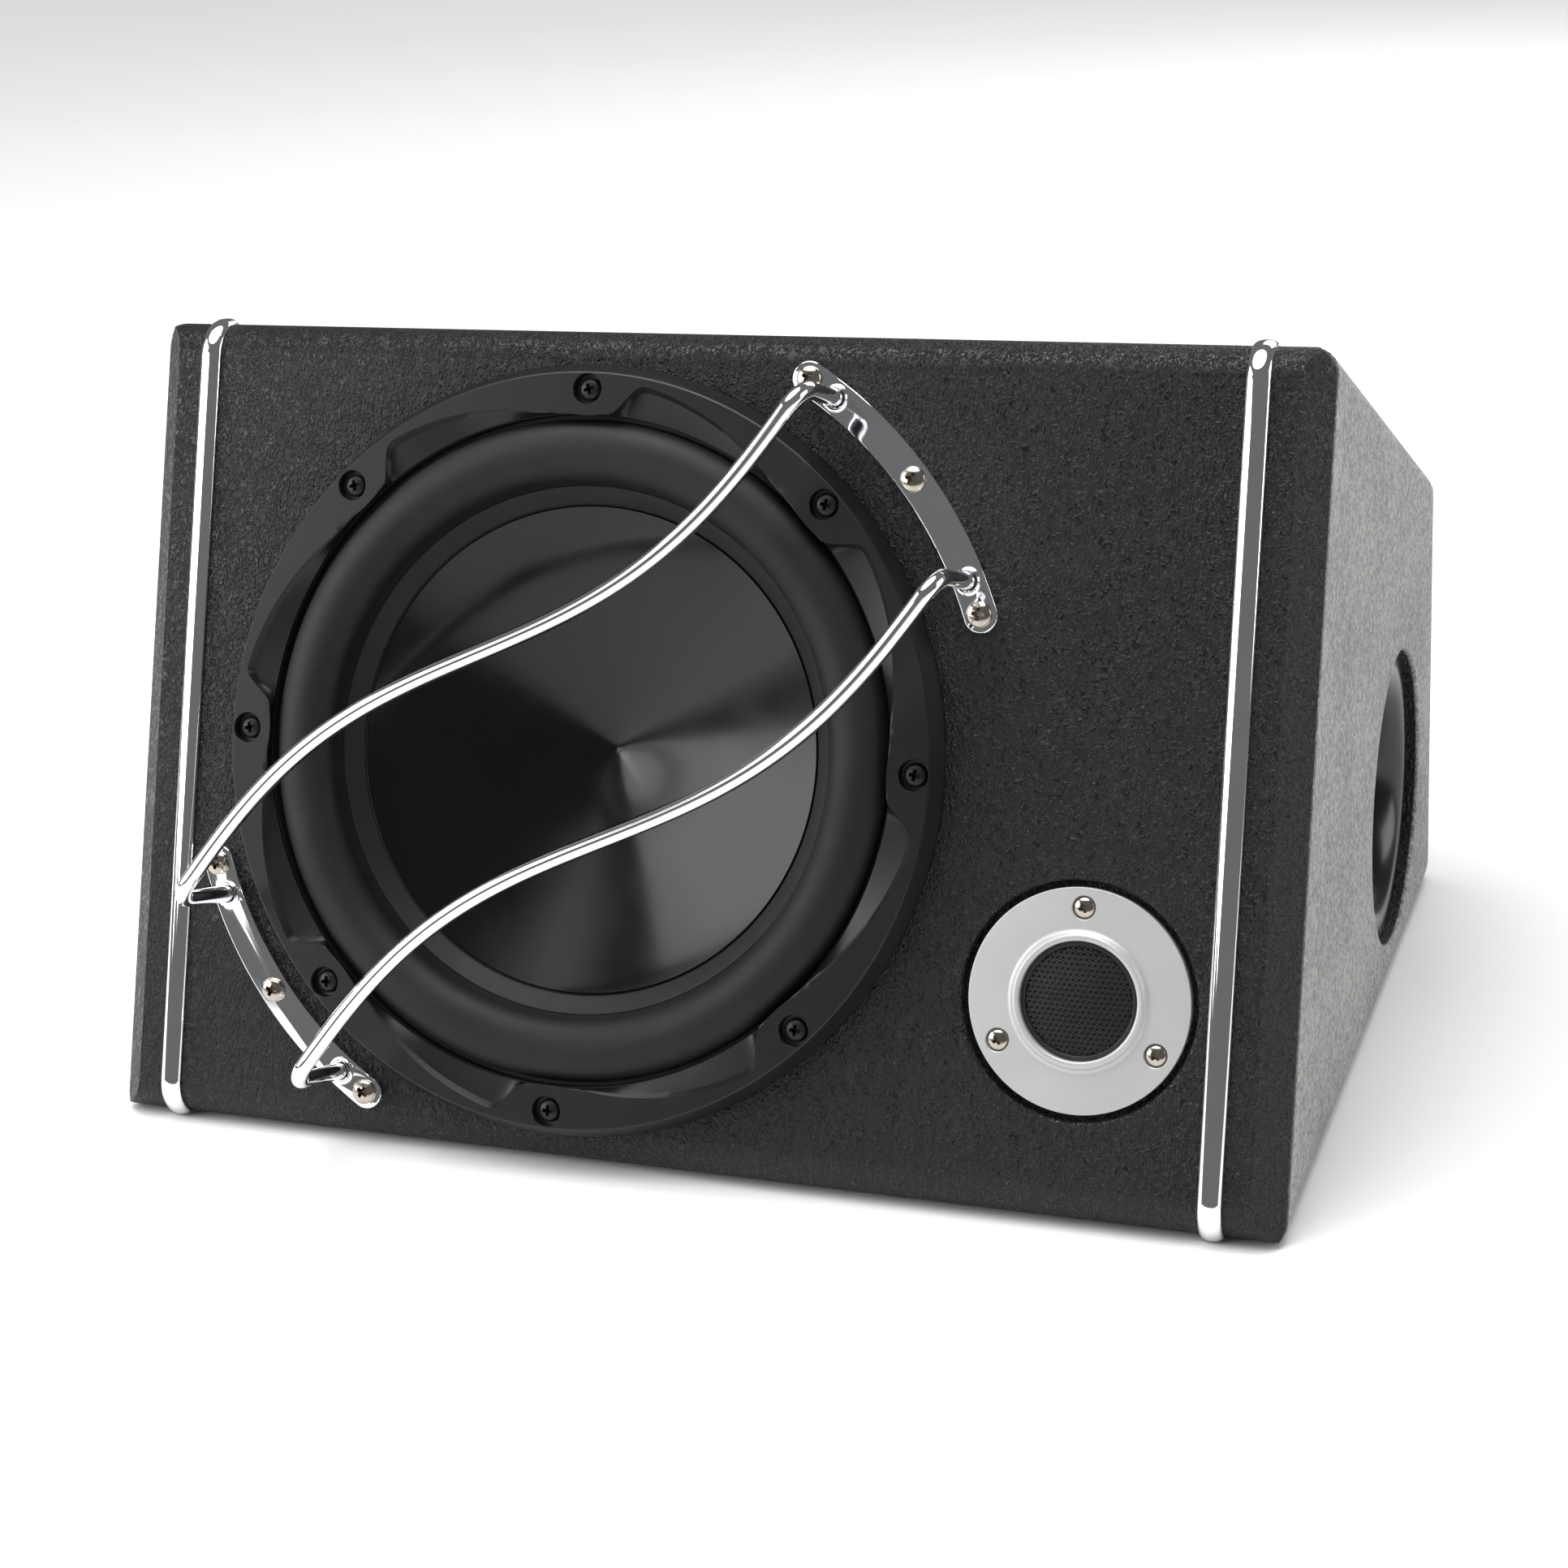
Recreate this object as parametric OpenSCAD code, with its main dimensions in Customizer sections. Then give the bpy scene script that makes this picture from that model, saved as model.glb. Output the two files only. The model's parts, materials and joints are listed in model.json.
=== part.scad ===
// Powered car subwoofer: a wedge cabinet with one woofer, one tweeter, a side port,
// a two-bar chrome guard and a built-in amplifier on the rear face.
// Millimetres. +Z up, the front faces -Y. The origin is the centre of the underside.

/* [Cabinet] */
// Width of the cabinet over its carpet
cabinet_w = 424.5; // [400:0.5:460]
// Length of the underside, front to rear
base_length = 330; // [320:1:380]
// Height of the rear face
rear_h = 169; // [160:1:190]
// Slant height of the front face
front_h = 292; // [285:1:310]
// Lean of the front face from upright, in degrees
front_lean = 19; // [15:0.5:22]
// Thickness of the wood panels
panel_t = 15; // [12:1:18]
// Thickness of the front baffle
baffle_t = 19; // [18:0.5:22]
// Thickness of the carpet
carpet_t = 2; // [1.5:0.25:3]
// Depth of the textured black edge of the baffle
black_edge = 13.2; // [13:0.1:15]
// Chamfer on the baffle's left and right edges
side_chamfer = 10; // [6:0.5:12]

/* [Woofer] */
// Distance of the woofer's centre to the left of the cabinet's centre
woofer_offset = 38.5; // [30:0.5:45]
// Outer radius of the trim ring
trim_r = 132.4; // [131:0.2:134]
// Radius of the circle of woofer screws
screw_circle_r = 123.5; // [123:0.1:124.5]
// Number of woofer screws
woofer_screw_count = 8; // [6:1:12]

/* [Tweeter] */
// Distance of the tweeter's centre to the right of the woofer's centre
tweeter_x = 181.1; // [178:0.5:183]
// Distance of the tweeter's centre below the woofer's centre
tweeter_drop = 69.2; // [60:0.5:80]
// Radius of the tweeter's faceplate
faceplate_r = 36.95; // [36:0.1:38]

/* [Port] */
// Height of the port's centre above the underside
port_z = 69; // [66:0.5:80]
// Distance of the port's centre behind the cabinet's centre
port_y = 71; // [60:0.5:75]
// Radius of the port's throat
throat_r = 37; // [30:0.5:38]
// Radius of the recess that the port's lip sits in
port_recess_r = 55.9; // [54:0.1:56.5]

/* [Guard] */
// Distance of the bars' centre lines in front of the baffle
guard_standoff = 38; // [34:0.5:42]
// Radius of the guard bars
bar_r = 3; // [2.5:0.25:3.5]
// Sideways swing of each bar's wave
bar_wave = 12.8; // [8:0.2:14]
// Radius of the brackets' centre line
bracket_r = 147.5; // [146:0.5:149]

/* [Amplifier] */
// Width of the amplifier's rear panel
amp_w = 236; // [230:1:250]
// Height of the amplifier's rear panel
amp_h = 126; // [122:1:130]
// Distance of the amplifier's centre to the left of the cabinet's centre, seen from the front
amp_offset = 60; // [50:1:66]

/* [Hidden] */

$fn = 96;
half_w = cabinet_w / 2;
slack = 1;                 // overshoot of a cutting solid past the face it cuts
edge_round = 8;            // flat across the cabinet's long side edges
carpet_seam = edge_round + 0.6;   // how far the wrapped carpet turns down the sides
rear_round = 10;           // radius of the rear corners
front_round = 12;          // radius along the baffle's top and bottom edges
corner_round = 12;         // radius of the baffle's corners, seen from the front
strip_inner = 185.1;       // from the cabinet's centre to a chrome strip's inner edge
strip_w = 8.1;
strip_rise = 2.2;

ledge_z = -1.6;            // glue ledge of the basket, below the baffle's face
trim_front = 7.5;          // front of the trim ring
trim_inner_r = 115.4;
basket_hole_r = 117.5;
surround_in_r = 92.2;
surround_rise = 9;
dish_r = 84.6;
dish_rim_z = -9.4;
dish_depth = 28;
dish_tip = 1.4;
dish_bow = 1.12;
cone_foot_z = -53.5;        // where the cone meets the former
coil_r = 25.4;
plate_top_z = -82;         // front of the magnet system's top plate
spider_z = -60;
terminal_angle = 20;       // the terminal strip sits on a basket arm, this far round
terminal_r = 103;          // flat seat of the terminal strip on that arm
lead_gap = 9;              // between the two leads on the terminal strip

tweeter_recess_r = 39.1;
tweeter_recess = 4.2;
tweeter_lip_r = 19.5;
tweeter_screw_r = 30.3;
tweeter_hole_r = 25;
mesh_r = 18.6;

port_recess = 6.6;
lip_t = 2;
flare_r = 52;               // where the flare turns into its flat lip
port_wall = 2.5;
flare_length = 34;
port_end_x = 72;           // inner end of the port tube

guard_x = 3.2;             // centre of the guard from the woofer's centre
guard_y = 2.2;
guard_angle = 40;
bracket_w = 11.6;
bracket_t = 2;
bracket_screw_spread = 19.5;
bar_spread = 15;
bar_bend = 8;
bar_half = bracket_r * cos(bar_spread);
bar_side = bracket_r * sin(bar_spread);

amp_z = rear_h / 2 + 2;
amp_plate_t = 3;
knob_x = [32, 60, 88];
knob_y = 34;
knob_r = 7;
switch_x = 32;
switch_y = 4;
switch_travel = 4;
jack_x = [66, 88];
jack_y = 4;
block_x = 48;
block_y = -36;
fuse_x = 93;
fuse_y = -36;
board_z = -20;
// Lower speaker lead, from the board's inner face to the woofer's terminal strip
lead_route = [
    [33, 144.8, 112], [33, 132, 112.5], [36, 116, 116], [42, 92, 124], [49, 66, 133], [56, 40, 141],
    [64, 14, 148], [71, -12, 153], [77, -38, 157], [80, -58, 161], [79.5, -71, 163.5], [75.8, -77.5, 163.2],
    [68.5, -78.4, 160.7]
];
lead_last = len(lead_route) - 1;

// ---------- outlines and placing ----------

function unit(v) = v / norm(v);
function left_of(v) = [-v.y, v.x];

// Corners of the side profile: front foot, rear foot, rear top, front top
profile = [
    [-base_length / 2, 0],
    [base_length / 2, 0],
    [base_length / 2, rear_h],
    [-base_length / 2 + front_h * sin(front_lean), front_h * cos(front_lean)]
];

// Inward normal of the edge that starts at corner i (base, rear, top, front)
function inward(i) = left_of(unit(profile[(i + 1) % 4] - profile[i % 4]));

// Corner i after its incoming edge moves in by a and its outgoing edge by b
function moved_corner(i, a, b) =
    let (m = inward(i + 3), n = inward(i), d = m.x * n.y - m.y * n.x)
    profile[i] + [a * n.y - b * m.y, b * m.x - a * n.x] / d;

// Points round corner i with radius r, for edge insets a and b
function round_corner(i, a, b, r, steps = 8) =
    r <= 0 ? [moved_corner(i, a, b)] :
    let (
        c = moved_corner(i, a + r, b + r),
        m = -inward(i + 3), n = -inward(i),
        start = atan2(m.y, m.x),
        turn = (atan2(n.y, n.x) - start + 360) % 360
    )
    [for (k = [0:steps]) c + r * [cos(start + turn * k / steps), sin(start + turn * k / steps)]];

// Side profile with insets of base, rear, top and front edges, and corner radii
function outline(insets, radii) =
    [for (i = [0:3]) each round_corner(i, insets[(i + 3) % 4], insets[i], radii[i])];

// A side profile extruded across the cabinet between two x positions
module across(x0, x1, points) {
    translate([x0, 0, 0]) rotate([90, 0, 90]) linear_extrude(height = x1 - x0) polygon(points);
}

// Body behind the baffle's black edge, shrunk by a skin, with flattened side edges
module envelope(skin, front) {
    cut = edge_round + skin * sqrt(2) - skin;
    hull() {
        across(-half_w + skin, half_w - skin,
               outline([cut, cut, cut, front], [0, rear_round - cut, rear_round - cut, 0]));
        across(-half_w + cut, half_w - cut,
               outline([skin, skin, skin, front], [0, rear_round - skin, rear_round - skin, 0]));
    }
}

// Baffle frame: origin at the centre of its front face, y into the box, z up the slope
module on_baffle() {
    translate([0, -base_length / 2, 0]) rotate([-front_lean, 0, 0])
        translate([0, 0, front_h / 2]) children();
}

// Woofer frame: z out of the baffle towards the listener, y up the slope
module on_woofer() {
    on_baffle() translate([-woofer_offset, 0, 0]) rotate([90, 0, 0]) children();
}

module on_tweeter() {
    on_woofer() translate([tweeter_x, -tweeter_drop, 0]) children();
}

// Guard frame: x from the lower left bracket to the upper right one
module on_guard() {
    on_woofer() translate([guard_x, guard_y, 0]) rotate(guard_angle) children();
}

// Port frame: z out of the right side, origin on the carpet's face
module on_port() {
    translate([half_w, port_y, port_z]) rotate([90, 0, 90]) children();
}

// Rear frame: z out of the rear face, x to the right for someone facing it
module on_rear() {
    translate([-amp_offset, base_length / 2, amp_z]) rotate([90, 0, 180]) children();
}

// ---------- shared shapes ----------

module ring(r_out, r_in, z0, z1) {
    translate([0, 0, z0]) difference() {
        cylinder(r = r_out, h = z1 - z0);
        translate([0, 0, -slack]) cylinder(r = r_in, h = z1 - z0 + 2 * slack);
    }
}

module box(x, y, z0, z1) {
    translate([-x / 2, -y / 2, z0]) cube([x, y, z1 - z0]);
}

module around(radius, count, first = 0) {
    for (i = [0:count - 1]) rotate(first + i * 360 / count) translate([radius, 0, 0]) children();
}

// Pan-head screw with a cross recess: the head stands on z = 0, the shank goes down
module screw(head_r, head_h, shank_r, shank_l) {
    difference() {
        union() {
            rotate_extrude() polygon([
                [0, 0], [head_r, 0], [head_r, head_h * 0.35], [head_r * 0.8, head_h * 0.8],
                [head_r * 0.45, head_h], [0, head_h]
            ]);
            translate([0, 0, -shank_l]) cylinder(r = shank_r, h = shank_l + 0.1);
        }
        for (a = [0, 90]) rotate(a)
            translate([-head_r * 0.5, -head_r * 0.12, head_h * 0.45])
                cube([head_r, head_r * 0.24, head_h]);
    }
}

function way(points, i) =
    unit(points[min(i + 1, len(points) - 1)] - points[max(i - 1, 0)]);

// Round tube swept along points; hint is a direction that the path never takes
module tube(points, radius, sides, hint) {
    last = len(points) - 1;
    rings = [for (i = [0:last])
        let (t = way(points, i), a = unit(cross(hint, t)), b = cross(t, a))
        for (k = [0:sides - 1])
            points[i] + radius * (cos(360 * k / sides) * a + sin(360 * k / sides) * b)];
    walls = [for (i = [0:last - 1], k = [0:sides - 1])
        let (m = (k + 1) % sides)
        [i * sides + k, (i + 1) * sides + k, (i + 1) * sides + m, i * sides + m]];
    near_cap = [for (k = [0:sides - 1]) k];
    far_cap = [for (k = [sides - 1:-1:0]) last * sides + k];
    polyhedron(points = rings, faces = concat([near_cap, far_cap], walls), convexity = 6);
}

// ---------- cabinet ----------

module baffle_blank() {
    intersection() {
        across(-half_w, half_w, outline([0, base_length / 2, 0, 0], [front_round, 0, 0, front_round]));
        on_baffle() translate([0, 0, -front_h]) linear_extrude(height = 2 * front_h) polygon([
            [-half_w, black_edge], [-half_w, side_chamfer], [-half_w + side_chamfer, 0],
            [half_w - side_chamfer, 0], [half_w, side_chamfer], [half_w, black_edge]
        ]);
        on_baffle() rotate([90, 0, 0]) translate([0, 0, -2 * baffle_t])
            linear_extrude(height = 3 * baffle_t) rounded_rectangle(cabinet_w, front_h, corner_round);
    }
    intersection() {
        envelope(carpet_t, black_edge);
        on_baffle() translate([-half_w, black_edge, -front_h]) cube([cabinet_w, baffle_t - black_edge, 2 * front_h]);
    }
}

module rounded_rectangle(w, h, r) {
    centres = [[w / 2 - r, h / 2 - r], [r - w / 2, h / 2 - r], [r - w / 2, r - h / 2], [w / 2 - r, r - h / 2]];
    polygon([for (q = [0:3], a = [0:15:90]) centres[q] + r * [cos(90 * q + a), sin(90 * q + a)]]);
}

module front_baffle() color([0.05, 0.05, 0.055]) difference() {
    baffle_blank();
    on_woofer() {
        translate([0, 0, -2 * baffle_t]) cylinder(r = basket_hole_r, h = 3 * baffle_t);
        around(screw_circle_r, woofer_screw_count, 90) translate([0, 0, -16]) cylinder(r = 2.1, h = 20);
    }
    on_tweeter() {
        translate([0, 0, -tweeter_recess]) cylinder(r = tweeter_recess_r, h = 2 * tweeter_recess);
        translate([0, 0, -2 * baffle_t]) cylinder(r = tweeter_hole_r, h = 3 * baffle_t);
        around(tweeter_screw_r, 3, 90) translate([0, 0, -17]) cylinder(r = 1.6, h = 20);
    }
    on_guard() for (side = [0, 180]) rotate(side) {
        around_bracket_screws() translate([0, 0, -15]) cylinder(r = 1.9, h = 20);
    }
}

// Flat panel between the side panels: the part of the wall ring inside one wedge
module wall_panel(edge) {
    skin = carpet_t;
    inner = carpet_t + panel_t;
    after = (edge + 1) % 4;
    x = half_w - inner;
    round_outer = outline([skin, skin, skin, baffle_t], [0, rear_round - skin, rear_round - skin, 0]);
    front_in = [0, 0, 0, baffle_t];
    wedge = [
        moved_corner(edge, front_in[(edge + 3) % 4], 0),
        moved_corner(after, 0, front_in[after]),
        moved_corner(after, inner, after == 3 ? baffle_t : inner),
        moved_corner(edge, edge == 0 ? baffle_t : inner, inner)
    ];
    intersection() {
        across(-x, x, round_outer);
        across(-x - slack, x + slack, wedge);
    }
}

module base_panel() color([0.72, 0.58, 0.42]) wall_panel(0);
module top_panel() color([0.72, 0.58, 0.42]) wall_panel(2);
module rear_panel() color([0.72, 0.58, 0.42]) difference() {
    wall_panel(1);
    on_rear() box(amp_w - 26, amp_h - 20, -3 * panel_t, panel_t);
    on_rear() amp_screw_places() translate([0, 0, -14]) cylinder(r = 1.6, h = 20);
}

module side_panel() {
    intersection() {
        envelope(carpet_t, baffle_t);
        translate([half_w - carpet_t - panel_t, -base_length, -slack])
            cube([panel_t + carpet_t, 2 * base_length, 2 * front_h]);
    }
}

module right_panel() color([0.72, 0.58, 0.42]) difference() {
    side_panel();
    on_port() {
        translate([0, 0, -port_recess]) cylinder(r = port_recess_r, h = 2 * port_recess);
        translate([0, 0, -2 * panel_t]) cylinder(r = 50.6, h = 3 * panel_t);
    }
}

module left_panel() color([0.72, 0.58, 0.42]) mirror([1, 0, 0]) side_panel();

// Carpet over one long face, turned a little way down both sides
module wrap_carpet(edge) {
    after = (edge + 1) % 4;
    front_in = [0, 0, 0, black_edge];
    run = profile[after] - profile[edge];
    wood_cut = edge_round + carpet_t * sqrt(2);
    wedge = [
        moved_corner(edge, front_in[(edge + 3) % 4], 0),
        moved_corner(after, 0, front_in[after]),
        moved_corner(after, carpet_seam, after == 3 ? black_edge : carpet_seam),
        moved_corner(edge, edge == 0 ? black_edge : carpet_seam, carpet_seam)
    ];
    half_section = [
        [half_w - edge_round, 0], [half_w, edge_round], [half_w, carpet_seam + slack],
        [half_w - carpet_t, carpet_seam + slack], [half_w - carpet_t, wood_cut - carpet_t],
        [half_w - wood_cut + carpet_t, carpet_t]
    ];
    section = concat(half_section, [for (k = [5:-1:0]) [-half_section[k].x, half_section[k].y]]);
    intersection() {
        translate([0, profile[edge].x, profile[edge].y]) rotate([90 + atan2(run.y, run.x), 0, 0])
            translate([0, 0, -norm(run) - slack]) linear_extrude(height = norm(run) + 2 * slack)
                polygon(section);
        across(-half_w - slack, half_w + slack, wedge);
        across(-half_w - slack, half_w + slack, outline([0, 0, 0, 0], [0, rear_round, rear_round, 0]));
    }
}

module base_carpet() color([0.62, 0.62, 0.61]) wrap_carpet(0);
module top_carpet() color([0.62, 0.62, 0.61]) wrap_carpet(2);
module rear_carpet() color([0.62, 0.62, 0.61]) difference() {
    wrap_carpet(1);
    on_rear() box(amp_w - 26, amp_h - 20, -panel_t, panel_t);
    on_rear() amp_screw_places() translate([0, 0, -14]) cylinder(r = 1.6, h = 20);
}

module side_carpet() {
    across(half_w - carpet_t, half_w,
           outline([carpet_seam, carpet_seam, carpet_seam, black_edge], [0, 2, 2, 0]));
}

module right_carpet() color([0.62, 0.62, 0.61]) difference() {
    side_carpet();
    on_port() translate([0, 0, -port_recess]) cylinder(r = port_recess_r, h = 2 * port_recess);
}

module left_carpet() color([0.62, 0.62, 0.61]) mirror([1, 0, 0]) side_carpet();

// Chrome strip that runs up the baffle and turns over its top and bottom edges
module chrome_strip() {
    rise = strip_rise;
    difference() {
        intersection() {
            across(strip_inner, strip_inner + strip_w,
                   outline([-rise, base_length / 2, -rise, -rise], [front_round + rise, 0, 0, front_round + rise]));
            on_baffle() translate([0, -20, -front_h]) cube([cabinet_w, 20 + black_edge, 2 * front_h]);
        }
        across(strip_inner - slack, strip_inner + strip_w + slack,
               outline([0, base_length / 4, 0, 0], [front_round, 0, 0, front_round]));
        translate([0, -base_length, -20]) cube([cabinet_w, 2 * base_length, 20.2]);
    }
}

module right_chrome_strip() color([0.85, 0.86, 0.88]) chrome_strip();
module left_chrome_strip() color([0.85, 0.86, 0.88]) mirror([1, 0, 0]) chrome_strip();

// ---------- woofer ----------

module woofer_gasket() color([0.1, 0.1, 0.1]) on_woofer() difference() {
    ring(130, basket_hole_r + 0.5, 0, 1.5);
    around(screw_circle_r, woofer_screw_count, 90) translate([0, 0, -slack]) cylinder(r = 2.6, h = 5);
}

module woofer_basket() color([0.12, 0.12, 0.13]) on_woofer() difference() {
    rotate_extrude() polygon([
        [130.4, 1.5], [130.4, 3.2], [115.2, 3.2], [115.2, ledge_z], [107, ledge_z],
        [100, -30], [86, spider_z + 2], [86, spider_z - 1.5], [74, spider_z - 1.5],
        [60, plate_top_z + 2], [30, plate_top_z + 2], [30, plate_top_z], [62, plate_top_z],
        [76, spider_z - 3.5], [88, spider_z - 3.5], [88, spider_z + 1.5], [102, -31],
        [109.5, ledge_z - 2], [117.2, ledge_z - 2], [117.2, 1.5]
    ]);
    around(screw_circle_r, woofer_screw_count, 90) translate([0, 0, -slack]) cylinder(r = 2.6, h = 10);
    // windows between the basket's arms
    around(95, 8, 0) translate([-20, -24, -54]) cube([45, 48, 34]);
    // flat seat for the terminal strip, and the two holes that the tinsel leads pass through
    rotate(terminal_angle) {
        translate([terminal_r, -10.5, -37]) cube([10, 21, 15]);
        for (side = [-1, 1]) translate([terminal_r - 10, side * lead_gap / 2, -28]) rotate([0, 90, 0])
            cylinder(r = 1.4, h = 12);
    }
}

module woofer_trim_ring() color([0.07, 0.07, 0.075]) on_woofer() difference() {
    union() {
        rotate_extrude() polygon([
            [trim_r, 0.2], [trim_r, trim_front - 1.6], [trim_r - 1.6, trim_front],
            [trim_r - 4, trim_front], [trim_inner_r, 4.4], [trim_inner_r, 3.4],
            [130.8, 3.4], [130.8, 0.2]
        ]);
        intersection() {
            around(screw_circle_r, woofer_screw_count, 90) translate([0, 0, 3.4])
                cylinder(r = 8.6, h = trim_front - 3.4);
            ring(trim_r - 1.8, trim_inner_r, 3.4, trim_front);
        }
    }
    around(screw_circle_r, woofer_screw_count, 90) {
        translate([0, 0, 4.4]) cylinder(r = 5, h = 10);
        cylinder(r = 2.6, h = 10);
    }
}

module woofer_screws() color([0.08, 0.08, 0.09]) on_woofer()
    around(screw_circle_r, woofer_screw_count, 90) translate([0, 0, 4.5]) screw(4.1, 2.4, 2, 18);

// Half-roll rubber surround between the basket's ledge and the cone
module woofer_surround() color([0.06, 0.06, 0.065]) on_woofer() {
    mid = (surround_in_r + 113.6) / 2;
    half = (113.6 - surround_in_r) / 2;
    skin = 1.2;
    rotate_extrude() polygon(concat(
        [[115, ledge_z + 0.3], [115, ledge_z + skin + 0.3]],
        [for (a = [0:12:180]) [mid + half * cos(a), ledge_z + skin + surround_rise * sin(a)]],
        [[surround_in_r - 0.9, -4.4], [surround_in_r - 0.9, -5.6], [surround_in_r + 1, -5.2]],
        [for (a = [180:-12:0]) [mid + (half - skin) * cos(a), ledge_z + 0.3 + (surround_rise - skin) * sin(a)]]
    ));
}

module woofer_cone() color([0.1, 0.1, 0.1]) on_woofer() rotate_extrude() polygon([
    [91.2, -5.9], [91.2, -7.3], [27.5, cone_foot_z - 2], [25.95, cone_foot_z - 2], [25.95, cone_foot_z]
]);

module cone_edge_ring() color([0.06, 0.06, 0.06]) on_woofer() rotate_extrude() polygon([
    [91.2, -4.2], [91.2, -5.8], [84.9, -10.4], [84.9, -8.8]
]);

// Glossy dish that closes the middle of the cone
// Front of the dish at radius r: nearly a cone, with a small round tip and slightly bowed sides
function dish_z(r) = dish_rim_z
    - dish_depth * (1 - pow(norm([r, dish_tip]) / norm([dish_r, dish_tip]), dish_bow));

module cone_dish() color([0.02, 0.02, 0.025]) on_woofer() {
    skin = 1.1;
    radii = [for (k = [0:20]) dish_r * pow(k / 20, 1.3)];
    rotate_extrude() polygon(concat(
        [for (k = [0:20]) [radii[k], dish_z(radii[k])]],
        [for (k = [20:-1:0]) [radii[k], dish_z(radii[k]) - skin]]
    ));
}

module spider() color([0.75, 0.65, 0.4]) on_woofer() {
    waves = 5;
    r0 = 26.1;
    r1 = 76;
    rotate_extrude() polygon(concat(
        [[85, spider_z - 1.3], [85, spider_z - 0.7]],
        [for (k = [40:-1:0]) [r0 + (r1 - r0) * k / 40, spider_z + 0.6 + 2 * sin(360 * waves * k / 40)]],
        [for (k = [0:40]) [r0 + (r1 - r0) * k / 40, spider_z + 2 * sin(360 * waves * k / 40)]]
    ));
}

module coil_former() color([0.8, 0.7, 0.5]) on_woofer() ring(coil_r + 0.5, coil_r, -97, cone_foot_z + 4);
module voice_coil() color([0.75, 0.4, 0.2]) on_woofer() ring(coil_r + 1.3, coil_r + 0.5, -97, -77);
module top_plate() color([0.6, 0.6, 0.62]) on_woofer() ring(55, coil_r + 1.75, plate_top_z - 8, plate_top_z);
module ring_magnet() color([0.2, 0.2, 0.21]) on_woofer()
    ring(65, 34, plate_top_z - 30, plate_top_z - 8);
module yoke() color([0.6, 0.6, 0.62]) on_woofer() difference() {
    union() {
        translate([0, 0, plate_top_z - 39]) cylinder(r = 60, h = 9);
        translate([0, 0, plate_top_z - 31]) cylinder(r = coil_r - 0.7, h = 31);
    }
    translate([0, 0, plate_top_z - 45]) cylinder(r = 9, h = 60);
}

module woofer_terminals() color([0.85, 0.75, 0.5]) on_woofer() rotate(terminal_angle) {
    translate([terminal_r, -10, -36.5]) cube([2, 20, 14]);
    for (side = [-1, 1]) translate([terminal_r + 2, side * lead_gap / 2 - 1.5, -30]) cube([7, 3, 0.8]);
}

// Braided leads from the terminal strip to the cone
module tinsel_leads() color([0.8, 0.6, 0.3]) on_woofer() rotate(terminal_angle)
    for (side = [-1, 1]) let (y = side * lead_gap / 2)
        tube([[terminal_r - 0.1, y, -28], [97, y, -28], [87, y, -34], [75, y, -38], [64, y, -37.6], [57, y, -34.6]],
             0.9, 8, [0, 1, 0]);

// ---------- tweeter ----------

module tweeter_faceplate() color([0.78, 0.79, 0.8]) on_tweeter() difference() {
    union() {
        ring(faceplate_r, tweeter_lip_r, -tweeter_recess, -tweeter_recess + 3.2);
        rotate_extrude() translate([tweeter_lip_r, 0]) polygon([
            [0, -1.2], [0, 0.1], [0.8, 0.7], [1.6, 0.5], [2.6, -1.2]
        ]);
    }
    around(tweeter_screw_r, 3, 90) {
        translate([0, 0, -2.6]) cylinder(r = 3.9, h = 5);
        translate([0, 0, -10]) cylinder(r = 1.9, h = 20);
    }
}

module tweeter_grille() color([0.05, 0.05, 0.05]) on_tweeter() {
    sphere_r = 46;
    centre_z = 0.4 - sphere_r;
    difference() {
        intersection() {
            translate([0, 0, centre_z]) difference() {
                sphere(r = sphere_r);
                sphere(r = sphere_r - 0.8);
            }
            translate([0, 0, -8]) cylinder(r = mesh_r, h = 12);
        }
        for (row = [-3:3], col = [-3:3])
            if (abs(row + col) <= 3)
                translate([5 * col + 2.5 * row, 4.33 * row, -8]) cylinder(r = 1.9, h = 12, $fn = 6);
    }
    ring(tweeter_lip_r - 0.1, mesh_r - 0.6, -5.2, -3.4);
}

module tweeter_dome() color([0.2, 0.18, 0.16]) on_tweeter() translate([0, 0, -9.4]) rotate_extrude() polygon(concat(
    [for (a = [0:10:80]) [13 * cos(a), 4 * sin(a)]], [[0, 4]],
    [[0, 3.6]], [for (a = [80:-10:0]) [12.5 * cos(a), 3.6 * sin(a)]],
    [[12.5, -3], [13, -3]]
));

module tweeter_motor() color([0.18, 0.18, 0.19]) on_tweeter() {
    difference() {
        translate([0, 0, -30]) cylinder(r = 24.4, h = 25.7);
        translate([0, 0, -10.2]) cylinder(r = 20, h = 10);
        ring(13.6, 12, -18, -6);
        translate([0, 0, -11]) cylinder(r = 13.6, h = 8);
    }
}

module tweeter_screws() color([0.75, 0.72, 0.66]) on_tweeter()
    around(tweeter_screw_r, 3, 90) translate([0, 0, -2.5]) screw(3.4, 2, 1.5, 13);

module tweeter_capacitor() color([0.75, 0.2, 0.15]) on_tweeter()
    translate([0, 0, -39]) rotate([90, 0, 0]) translate([0, 0, -14]) cylinder(r = 8.5, h = 28);

// ---------- port ----------

module port_flare() color([0.03, 0.03, 0.035]) on_port() {
    mouth = -port_recess + lip_t;
    foot = mouth - flare_length;
    rotate_extrude() polygon(concat(
        [[55.5, -port_recess], [55.5, mouth - 0.8], [54.7, mouth]],
        [for (a = [90:-10:0]) [flare_r - (flare_r - throat_r) * cos(a), foot + flare_length * sin(a)]],
        [[throat_r, foot - 12], [throat_r + port_wall, foot - 12]],
        [for (a = [0:10:80]) [flare_r - (flare_r - throat_r - port_wall) * cos(a), foot + (flare_length - lip_t) * sin(a)]],
        [[50.2, -port_recess]]
    ));
}

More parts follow.
